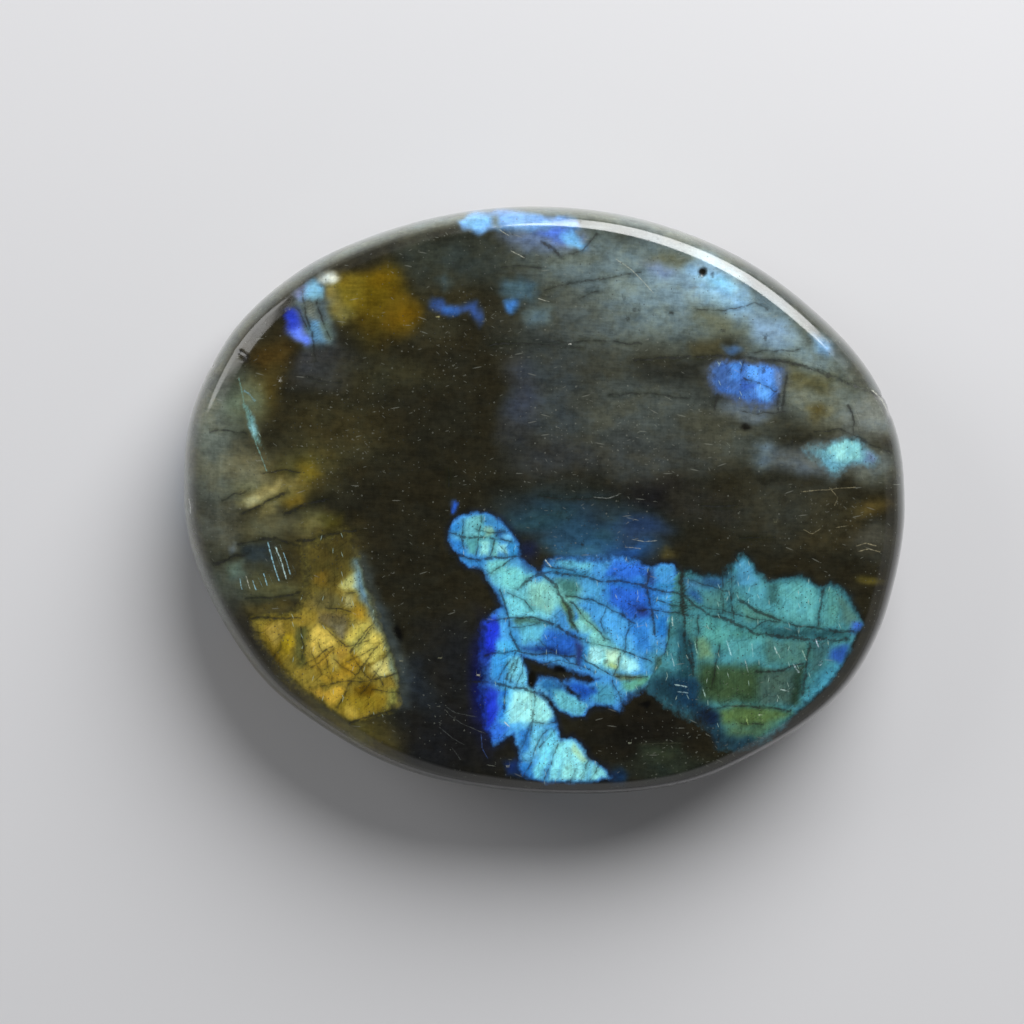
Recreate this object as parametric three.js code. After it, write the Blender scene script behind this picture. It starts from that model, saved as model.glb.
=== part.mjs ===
// Oval labradorite palm stone: one polished solid, lying on its flat ground back.
// Millimetres. +X runs along the long axis, +Y across it, +Z out of the polished face.
// The origin is under the middle of the oval, in the plane that the stone rests on.

import * as THREE from 'three';

// Overall size.
const LENGTH = 65;
const WIDTH = 53;
const THICKNESS = 12;

// Heights of the belt, where the side is widest, of the foot of the narrow bevel round the
// face, and of the crease at the bevel's top, where the face begins.
const BELT_LOW = 4.6;
const BELT_HIGH = 6.2;
const BEVEL_FOOT_HEIGHT = 10.8;
const CREASE_HEIGHT = 11.4;

// How far the crease stands in from the widest outline: a mean, with more at both ends
// of the long axis, and more again at the -X end, where the shoulder is rubbed wider.
const SHOULDER_MEAN = 2.3;
const SHOULDER_AT_ENDS = 0.55;
const SHOULDER_AT_LEFT = 0.4;
const BACK_INSET = 2.6;

// The share of the way in from the outline to the crease at which the bevel's foot stands.
const BEVEL_FOOT_SHARE = 0.5;

// Each rounded shoulder turns through this much of a quarter ellipse, and stops short
// of it, so that it meets the bevel or the back in a crease.
const UPPER_TURN = THREE.MathUtils.degToRad(70);
const LOWER_TURN = THREE.MathUtils.degToRad(72);

// Numbers of flat strips: round the oval, over each shoulder, and across the face.
const STRIPS_ROUND = 120;
const STRIPS_OVER_SHOULDER = 6;
const STRIPS_ACROSS_FACE = 5;

// The widest outline seen along Z, anticlockwise from the +X tip, as places picked by eye in
// the 1024 by 1024 photograph, in pixels, x to the right and y down. It is a slanting oval,
// ground straighter at lower left and at lower right.
const OUTLINE_PIXELS = [
  [902.5, 500], [895.5, 437], [872, 380], [830, 328], [745, 262],
  [646, 222], [544.5, 208], [441, 217.5], [336, 252], [285, 283],
  [240, 325], [210, 373], [192, 420], [186, 470], [188, 525],
  [204, 580], [237, 643], [277, 692], [367, 753], [430, 777],
  [500, 789], [570, 793], [640, 790], [700, 778], [755, 753],
  [811, 718], [850, 680], [878, 630], [893, 580], [901, 535],
];

// Points evenly spaced along the smooth closed outline, fitted exactly to the size.
function outlinePoints() {
  const corners = OUTLINE_PIXELS.map(([x, y]) => new THREE.Vector3(x, -y, 0));
  const curve = new THREE.CatmullRomCurve3(corners, true, 'centripetal');
  const points = curve.getSpacedPoints(STRIPS_ROUND).slice(0, STRIPS_ROUND);
  const box = new THREE.Box3().setFromPoints(points);
  const middle = box.getCenter(new THREE.Vector3());
  const span = box.getSize(new THREE.Vector3());
  const stretch = new THREE.Vector3(LENGTH / span.x, WIDTH / span.y, 0);
  return points.map((point) => point.sub(middle).multiply(stretch));
}

// How far the crease stands in from the outline at one of its points.
function shoulderInset(point) {
  const angle = Math.atan2(point.y, point.x);
  return SHOULDER_MEAN + SHOULDER_AT_ENDS * Math.cos(2 * angle) - SHOULDER_AT_LEFT * Math.cos(angle);
}

// One level ring of points, moved in from the outline towards the middle of the oval.
function ring(outline, insetAt, height) {
  return outline.map((point) => {
    const keep = 1 - insetAt(point) / point.length();
    return new THREE.Vector3(point.x * keep, point.y * keep, height);
  });
}

// Rings over a rounded shoulder, from the belt to its other end.
function shoulderRings(outline, insetAt, beltHeight, endHeight, turn) {
  const rings = [];
  for (let step = 0; step <= STRIPS_OVER_SHOULDER; step += 1) {
    const angle = (turn * step) / STRIPS_OVER_SHOULDER;
    const inward = (1 - Math.cos(angle)) / (1 - Math.cos(turn));
    const upward = Math.sin(angle) / Math.sin(turn);
    const height = THREE.MathUtils.lerp(beltHeight, endHeight, upward);
    rings.push(ring(outline, (point) => insetAt(point) * inward, height));
  }
  return rings;
}

// Rings across the gently crowned face, from just inside the crease towards the middle.
function faceRings(outline) {
  const crown = THICKNESS - CREASE_HEIGHT;
  const rings = [];
  for (let step = 1; step < STRIPS_ACROSS_FACE; step += 1) {
    const outward = 1 - step / STRIPS_ACROSS_FACE;
    const insetAt = (point) => point.length() - (point.length() - shoulderInset(point)) * outward;
    rings.push(ring(outline, insetAt, THICKNESS - crown * outward ** 2));
  }
  return rings;
}

// A closed skin over a pile of rings, from the lowest to the highest, which also closes
// the two ends to the middle of the oval.
function closedSkin(rings, lowMiddle, highMiddle) {
  const vertices = [lowMiddle, ...rings.flat(), highMiddle];
  const top = vertices.length - 1;
  const triangles = [];
  for (let round = 0; round < STRIPS_ROUND; round += 1) {
    const next = (round + 1) % STRIPS_ROUND;
    triangles.push(0, 1 + next, 1 + round);
    for (let level = 1; level < rings.length; level += 1) {
      const below = 1 + (level - 1) * STRIPS_ROUND;
      const above = below + STRIPS_ROUND;
      triangles.push(below + round, below + next, above + next);
      triangles.push(below + round, above + next, above + round);
    }
    triangles.push(top, top - STRIPS_ROUND + round, top - STRIPS_ROUND + next);
  }
  const geometry = new THREE.BufferGeometry().setFromPoints(vertices);
  geometry.setIndex(triangles);
  geometry.computeVertexNormals();
  return geometry;
}

// The whole stone: flat back, lower shoulder, belt, upper shoulder, bevel and polished face.
function labradoriteStone() {
  const outline = outlinePoints();
  const lower = shoulderRings(outline, () => BACK_INSET, BELT_LOW, 0, LOWER_TURN).reverse();
  const footInset = (point) => shoulderInset(point) * BEVEL_FOOT_SHARE;
  const upper = shoulderRings(outline, footInset, BELT_HIGH, BEVEL_FOOT_HEIGHT, UPPER_TURN);
  const crease = ring(outline, shoulderInset, CREASE_HEIGHT);
  const rings = [...lower, ...upper, crease, ...faceRings(outline)];
  const backMiddle = new THREE.Vector3(0, 0, 0);
  const faceMiddle = new THREE.Vector3(0, 0, THICKNESS);
  const stone = new THREE.Mesh(
    closedSkin(rings, backMiddle, faceMiddle),
    new THREE.MeshStandardMaterial({ color: 0x38372b, roughness: 0.15, metalness: 0 }),
  );
  stone.name = 'labradorite_stone';
  return stone;
}

const part = new THREE.Group();
part.add(labradoriteStone());

export default part;
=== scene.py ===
"""The looks of an oval labradorite palm stone that lies face up on its flat back.

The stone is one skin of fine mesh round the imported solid. Its flashes, clouds and cracks are
painted on the points of that skin, each where the photograph shows it, and the material adds
the grain that is finer than the mesh. Lengths are metres unless a comment says otherwise,
places of markings are pixels of the 1024 by 1024 photograph, x to the right and y down, and
tones run from 0 to 255.
"""

import itertools
import math
from collections import namedtuple

import bpy
import numpy as np
from mathutils import Matrix, Vector


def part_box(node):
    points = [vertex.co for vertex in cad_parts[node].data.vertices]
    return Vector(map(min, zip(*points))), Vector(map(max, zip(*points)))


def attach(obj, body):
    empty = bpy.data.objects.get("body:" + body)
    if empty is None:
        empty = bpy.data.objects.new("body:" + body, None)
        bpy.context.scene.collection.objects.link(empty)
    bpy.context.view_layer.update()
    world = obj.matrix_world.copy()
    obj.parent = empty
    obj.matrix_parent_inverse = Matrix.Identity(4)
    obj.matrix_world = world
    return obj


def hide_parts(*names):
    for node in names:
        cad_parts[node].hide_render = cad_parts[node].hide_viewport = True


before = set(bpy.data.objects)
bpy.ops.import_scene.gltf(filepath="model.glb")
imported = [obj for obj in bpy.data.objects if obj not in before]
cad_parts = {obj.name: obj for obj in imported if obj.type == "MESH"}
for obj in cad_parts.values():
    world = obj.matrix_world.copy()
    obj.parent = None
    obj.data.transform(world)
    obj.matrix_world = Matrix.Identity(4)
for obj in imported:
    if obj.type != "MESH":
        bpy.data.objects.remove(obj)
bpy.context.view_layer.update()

MM = 0.001
NODE = "labradorite_stone"
BOX_LOW, BOX_HIGH = (np.array(corner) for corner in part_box(NODE))
LENGTH, WIDTH, THICKNESS = BOX_HIGH - BOX_LOW

# The side of the stone, as the solid has it: the belt, the foot of the bevel and the crease
# at its top, how far that crease stands in from the outline, the share of that way at which
# the bevel's foot stands, and the part of a quarter ellipse that each shoulder turns through.
BELT_LOW = 4.6 * MM
BELT_HIGH = 6.2 * MM
BEVEL_FOOT_HEIGHT = 10.8 * MM
CREASE_HEIGHT = 11.4 * MM
SHOULDER_MEAN = 2.3 * MM
SHOULDER_AT_ENDS = 0.55 * MM
SHOULDER_AT_LEFT = 0.4 * MM
BACK_INSET = 2.6 * MM
BEVEL_FOOT_SHARE = 0.5
UPPER_TURN = math.radians(70)
LOWER_TURN = math.radians(72)

# The widest outline, anticlockwise from the +X tip, as listed pixels.
OUTLINE_PIXELS = [
    (902.5, 500), (895.5, 437), (872, 380), (830, 328), (745, 262),
    (646, 222), (544.5, 208), (441, 217.5), (336, 252), (285, 283),
    (240, 325), (210, 373), (192, 420), (186, 470), (188, 525),
    (204, 580), (237, 643), (277, 692), (367, 753), (430, 777),
    (500, 789), (570, 793), (640, 790), (700, 778), (755, 753),
    (811, 718), (850, 680), (878, 630), (893, 580), (901, 535),
]

# The steps of the curve between two of those pixels, and the turns at which it is looked up.
OUTLINE_STEPS = 60
OUTLINE_TURNS = 2048

# Fineness of the skin: cells across the face, then rings down the side.
FACE_CELLS = 272
POINTS_ROUND = 4 * FACE_CELLS
BEVEL_RINGS = 4
UPPER_RINGS = 8
SIDE_EASE = 1.15
BELT_RINGS = 2
LOWER_RINGS = 6

# The flat back's rings, each with half the points of the one before, as fractions of its reach.
BACK_RINGS = (0.97, 0.84, 0.7, 0.55, 0.4, 0.22)

# How the polish softens the creases, and how far it leaves the surface uneven.
CREASE_BLEND = 0.035 * MM
UNEVEN_SIZE = 7 * MM
UNEVEN_DEPTH = 0.03 * MM
UNEVEN_SEED = 61

# The photograph's camera: the pixel at which the middle of the belt shows, the two pixels
# between which the stone's length shows, and how far the camera leans off the vertical. Its
# lens and sensor are in millimetres, and what is nearer to it than the clip doesn't show.
PHOTO_SIZE = 1024
PHOTO_MIDDLE = np.array([544.0, 500.4])
PHOTO_LEFT = 185.6
PHOTO_RIGHT = 902.5
PIXEL = LENGTH / (PHOTO_RIGHT - PHOTO_LEFT)
VIEW_TILT = math.radians(5)
LENS = 100.0
SENSOR = 36.0
CLIP_START = 0.01
VIEW_RIGHT = np.array([1.0, 0.0, 0.0])
VIEW_UP = np.array([0.0, math.cos(VIEW_TILT), -math.sin(VIEW_TILT)])
VIEW_AHEAD = np.array([0.0, -math.sin(VIEW_TILT), -math.cos(VIEW_TILT)])
VIEW_DISTANCE = PHOTO_SIZE * PIXEL * LENS / SENSOR
BELT_MIDDLE = np.array([0.0, 0.0, (BELT_LOW + BELT_HIGH) / 2])
FRAME_MIDDLE = (
    BELT_MIDDLE
    + VIEW_RIGHT * (PHOTO_SIZE / 2 - PHOTO_MIDDLE[0]) * PIXEL
    - VIEW_UP * (PHOTO_SIZE / 2 - PHOTO_MIDDLE[1]) * PIXEL
)
CAMERA_PLACE = FRAME_MIDDLE - VIEW_AHEAD * VIEW_DISTANCE

# Clouds of body colour, laid over each other in this order: tone from 0 to 255, middle,
# half sizes, and turn in degrees, anticlockwise.
BODY_TONE = (37, 35, 24)
BODY_CLOUDS = [
    # The grey upper half.
    ((54, 60, 54), (450, 262), (90, 46), 0),
    ((94, 105, 101), (590, 262), (125, 70), 0),
    ((76, 82, 77), (590, 325), (130, 60), 0),
    ((118, 137, 140), (665, 294), (125, 78), -10),
    ((146, 178, 196), (718, 292), (98, 50), -36),
    ((124, 146, 151), (790, 345), (96, 48), -38),
    ((74, 79, 73), (640, 408), (160, 84), 0),
    ((60, 66, 66), (545, 400), (60, 90), 0),
    ((56, 61, 70), (518, 400), (26, 60), 0),
    ((112, 119, 107), (818, 398), (100, 54), -18),
    ((112, 120, 118), (868, 420), (40, 58), -70),
    ((72, 75, 65), (730, 440), (90, 50), 0),
    ((98, 110, 118), (750, 412), (44, 18), 0),
    ((62, 65, 61), (640, 455), (120, 46), 0),
    ((54, 56, 55), (550, 458), (70, 40), 0),
    # The dark middle and the dull gold end at the right.
    ((27, 27, 28), (652, 494), (62, 32), 0),
    ((55, 56, 47), (780, 512), (95, 50), 0),
    ((44, 44, 39), (700, 505), (50, 28), 0),
    ((52, 48, 32), (838, 528), (52, 40), 0),
    ((78, 68, 36), (868, 508), (36, 18), 0),
    ((68, 69, 62), (874, 540), (30, 26), 0),
    ((84, 78, 36), (868, 578), (16, 10), -10),
    ((104, 112, 106), (872, 470), (36, 26), 0),
    ((98, 116, 126), (768, 459), (28, 22), 0),
    ((88, 96, 98), (800, 464), (46, 22), 0),
    # The upper left: brown, amber and violet grey.
    ((72, 58, 26), (268, 352), (38, 34), 40),
    ((76, 66, 30), (262, 392), (30, 44), -20),
    ((62, 64, 68), (325, 366), (50, 30), 0),
    ((54, 51, 34), (430, 310), (66, 50), 0),
    ((52, 51, 35), (385, 372), (90, 34), 0),
    ((88, 72, 16), (378, 304), (50, 56), 0),
    ((104, 84, 12), (376, 290), (40, 30), 0),
    ((98, 76, 12), (404, 316), (28, 30), 0),
    ((128, 112, 34), (350, 292), (30, 30), 0),
    ((140, 128, 70), (334, 296), (16, 22), 0),
    # The left end.
    ((108, 114, 101), (216, 440), (58, 124), 0),
    ((104, 115, 92), (246, 400), (30, 42), 0),
    ((118, 116, 88), (258, 472), (46, 44), 0),
    ((58, 54, 33), (325, 440), (100, 70), 0),
    ((82, 77, 42), (300, 468), (54, 36), 15),
    ((118, 118, 86), (248, 494), (36, 22), 0),
    ((108, 95, 42), (290, 492), (36, 18), 10),
    ((86, 86, 64), (268, 530), (66, 30), 0),
    ((84, 86, 74), (212, 530), (34, 40), 0),
    ((78, 84, 72), (226, 580), (50, 58), -60),
    ((62, 64, 50), (262, 562), (46, 26), 0),
    ((88, 88, 58), (278, 590), (58, 22), 0),
    ((88, 80, 42), (268, 612), (44, 14), -6),
    ((84, 74, 36), (325, 560), (54, 54), 0),
    # The dark bottom.
    ((100, 92, 44), (350, 722), (130, 34), -38),
    ((31, 32, 32), (455, 660), (60, 70), 0),
    ((26, 27, 29), (450, 740), (100, 78), 0),
    ((25, 23, 17), (640, 728), (95, 48), 0),
    ((40, 48, 40), (668, 764), (70, 24), 0),
    ((34, 40, 46), (422, 690), (26, 44), 20),
    # The dim haze over the blue flash, and the deep blue beside its lower arm.
    ((40, 62, 78), (575, 522), (122, 44), -6),
    ((42, 76, 98), (596, 538), (64, 26), 0),
    ((42, 70, 80), (545, 518), (54, 20), 0),
    ((52, 98, 130), (580, 551), (54, 18), 0),
    ((40, 84, 142), (626, 549), (48, 18), 0),
    ((42, 62, 92), (640, 530), (40, 20), 0),
    ((28, 34, 58), (534, 557), (14, 16), 0),
    ((18, 24, 84), (480, 682), (20, 84), 0),
    ((20, 44, 82), (512, 766), (16, 14), 0),
]

# Painted reflection along the rim: paler olive grey on the top and the sides, where the steep
# shoulder mirrors bright surroundings and light shows through the thin edge, and near black at
# the bottom, where it mirrors dark things below. Given are how far in from the outline these
# tones start and are whole, and the share of their stretch over which they are whole. Each has
# its tone, its middle in degrees anticlockwise from +X, and half its stretch in degrees.
RIM_STARTS = 1.6 * MM
RIM_FULL = 0.4 * MM
RIM_TONE_FULL = 0.4
RIM_REFLECTION_TONES = [
    ((102, 110, 102), 100, 80),
    ((98, 103, 92), 175, 45),
    ((70, 76, 70), 25, 40),
    ((80, 76, 44), 225, 30),
    ((14, 14, 15), 280, 55),
    ((34, 33, 27), 335, 26),
]

# Patches of body colour with firmer edges: tone, softness of the edge, corners.
PATCHES = [
    # The pale and blue places beside the amber in the upper left.
    ((86, 100, 104), 5, [(296, 288), (322, 284), (334, 318), (334, 346), (304, 346), (290, 330)]),
    ((120, 112, 60), 5, [(330, 308), (344, 306), (354, 318), (344, 324), (332, 318)]),
    ((206, 214, 206), 3, [(317, 283), (325, 273), (337, 271), (341, 278), (330, 284)]),
    ((126, 136, 196), 3, [(296, 295), (299, 287), (306, 284), (305, 298)]),
    ((124, 184, 220), 2.5, [(305, 286), (314, 279), (323, 288), (323, 298), (314, 301), (304, 297)]),
    ((108, 116, 108), 3, [(304, 302), (315, 302), (320, 318), (309, 320)]),
    ((46, 66, 200), 3, [(284, 318), (289, 310), (296, 309), (302, 324), (299, 334), (288, 330)]),
    ((100, 132, 250), 2.5, [(291, 330), (301, 326), (312, 342), (305, 345), (297, 340)]),
    ((100, 152, 194), 2.5, [(309, 322), (318, 320), (325, 331), (324, 343), (313, 343)]),
    ((112, 132, 122), 3, [(321, 322), (328, 320), (333, 334), (329, 343), (324, 334)]),
    # Blue across the top rim: partly the stone's own blue, partly a painted highlight along the top
    # shoulder.
    ((100, 118, 148), 6, [(498, 234), (530, 228), (586, 232), (584, 248), (550, 252), (512, 246)]),
    ((108, 154, 212), 2.5, [(457, 220), (474, 212), (496, 208), (514, 211), (540, 215), (577, 219),
                            (582, 228), (556, 230), (518, 230), (492, 229), (478, 234), (464, 229)]),
    ((116, 176, 226), 3, [(460, 219), (478, 213), (490, 214), (490, 225), (477, 231), (466, 227)]),
    ((98, 108, 100), 2.5, [(491, 214), (498, 213), (498, 227), (492, 226)]),
    ((86, 122, 214), 3, [(536, 233), (552, 229), (572, 230), (566, 243), (548, 239)]),
    ((118, 186, 240), 2.5, [(561, 236), (571, 229), (577, 234), (585, 246), (581, 250), (566, 244)]),
    # Cut-off blue in the middle of the top.
    ((52, 80, 140), 2.5, [(431, 297), (441, 299), (449, 307), (462, 305), (475, 301), (480, 309),
                          (483, 319), (479, 326), (474, 316), (467, 310), (456, 313), (447, 317),
                          (438, 311), (431, 305)]),
    ((56, 104, 180), 2.4, [(444, 308), (455, 307), (457, 314), (447, 316)]),
    ((68, 94, 108), 5, [(502, 281), (520, 278), (537, 284), (534, 299), (516, 302), (504, 296)]),
    ((66, 126, 204), 2.5, [(505, 303), (512, 300), (519, 302), (513, 311), (507, 309)]),
    ((84, 104, 112), 6, [(521, 312), (534, 305), (550, 308), (548, 322), (530, 326)]),
    ((66, 80, 82), 4, [(438, 278), (446, 275), (451, 284), (444, 291)]),
    # Pale blue under the upper right rim.
    ((124, 144, 176), 5, [(644, 262), (660, 262), (674, 272), (666, 278), (648, 270)]),
    ((144, 188, 218), 5, [(690, 270), (712, 272), (744, 292), (752, 306), (730, 312), (704, 298)]),
    ((142, 206, 240), 4, [(708, 278), (722, 274), (736, 288), (732, 294), (716, 288)]),
    ((134, 162, 184), 7, [(752, 318), (784, 322), (798, 340), (776, 346), (756, 338)]),
    ((120, 168, 214), 4, [(810, 334), (822, 336), (832, 346), (830, 354), (818, 350)]),
    ((84, 130, 196), 3, [(722, 349), (734, 346), (740, 350), (730, 356)]),
    ((92, 94, 74), 7, [(664, 252), (690, 256), (676, 268), (644, 262)]),
    ((98, 104, 88), 8, [(690, 304), (722, 312), (742, 332), (716, 338), (694, 322)]),
    # The shade under the long crack at the upper right, and browner places by it.
    ((44, 45, 38), 7, [(632, 361), (660, 360), (700, 362), (706, 372), (690, 384), (640, 378)]),
    ((72, 70, 50), 6, [(690, 344), (724, 340), (722, 354), (694, 355)]),
    ((86, 84, 56), 7, [(788, 366), (834, 380), (826, 394), (790, 384)]),
    ((92, 84, 48), 5, [(808, 406), (822, 404), (828, 414), (816, 420)]),
    ((80, 74, 42), 4, [(668, 548), (674, 556), (664, 560), (660, 552)]),
    # Layers of pale and dark olive at the left end.
    ((120, 114, 68), 6, [(238, 502), (262, 488), (286, 478), (304, 474), (300, 486), (280, 495),
                         (258, 506)]),
    ((164, 156, 104), 4, [(244, 500), (262, 490), (282, 482), (276, 494), (254, 505)]),
    ((172, 174, 134), 3, [(243, 499), (255, 496), (256, 503), (247, 507)]),
    ((118, 96, 30), 5, [(284, 500), (296, 496), (304, 504), (288, 509)]),
    ((134, 128, 82), 5, [(262, 504), (280, 500), (276, 512), (262, 514)]),
    ((114, 100, 32), 6, [(298, 464), (312, 460), (320, 476), (302, 480)]),
    ((104, 100, 60), 6, [(296, 528), (302, 514), (320, 508), (328, 518), (324, 530), (308, 536)]),
    ((84, 80, 32), 6, [(322, 518), (340, 516), (342, 528), (326, 532)]),
    ((46, 56, 60), 4, [(240, 545), (268, 543), (270, 560), (244, 562)]),
    ((96, 114, 102), 4, [(227, 564), (240, 562), (243, 576), (230, 580)]),
    ((92, 104, 112), 3, [(229, 546), (235, 543), (236, 552), (231, 554)]),
    # The small separate dot above the blue flash, and grey veils at the bottom.
    ((50, 112, 244), 1.5, [(451, 508), (455, 502), (458, 504), (455, 513), (451, 514)]),
    ((30, 52, 110), 4, [(506, 763), (514, 761), (517, 770), (509, 774)]),
    ((22, 50, 84), 5, [(612, 770), (628, 774), (624, 786), (612, 784)]),
    ((74, 88, 94), 7, [(354, 552), (364, 556), (374, 594), (396, 640), (408, 672), (406, 704),
                       (396, 706), (394, 672), (382, 644), (364, 600)]),
    ((46, 54, 40), 5, [(640, 746), (680, 745), (684, 758), (650, 760)]),
]

Sheet = namedtuple("Sheet", "outline gaps base tones panes softness soft_places fringe glow")

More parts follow.
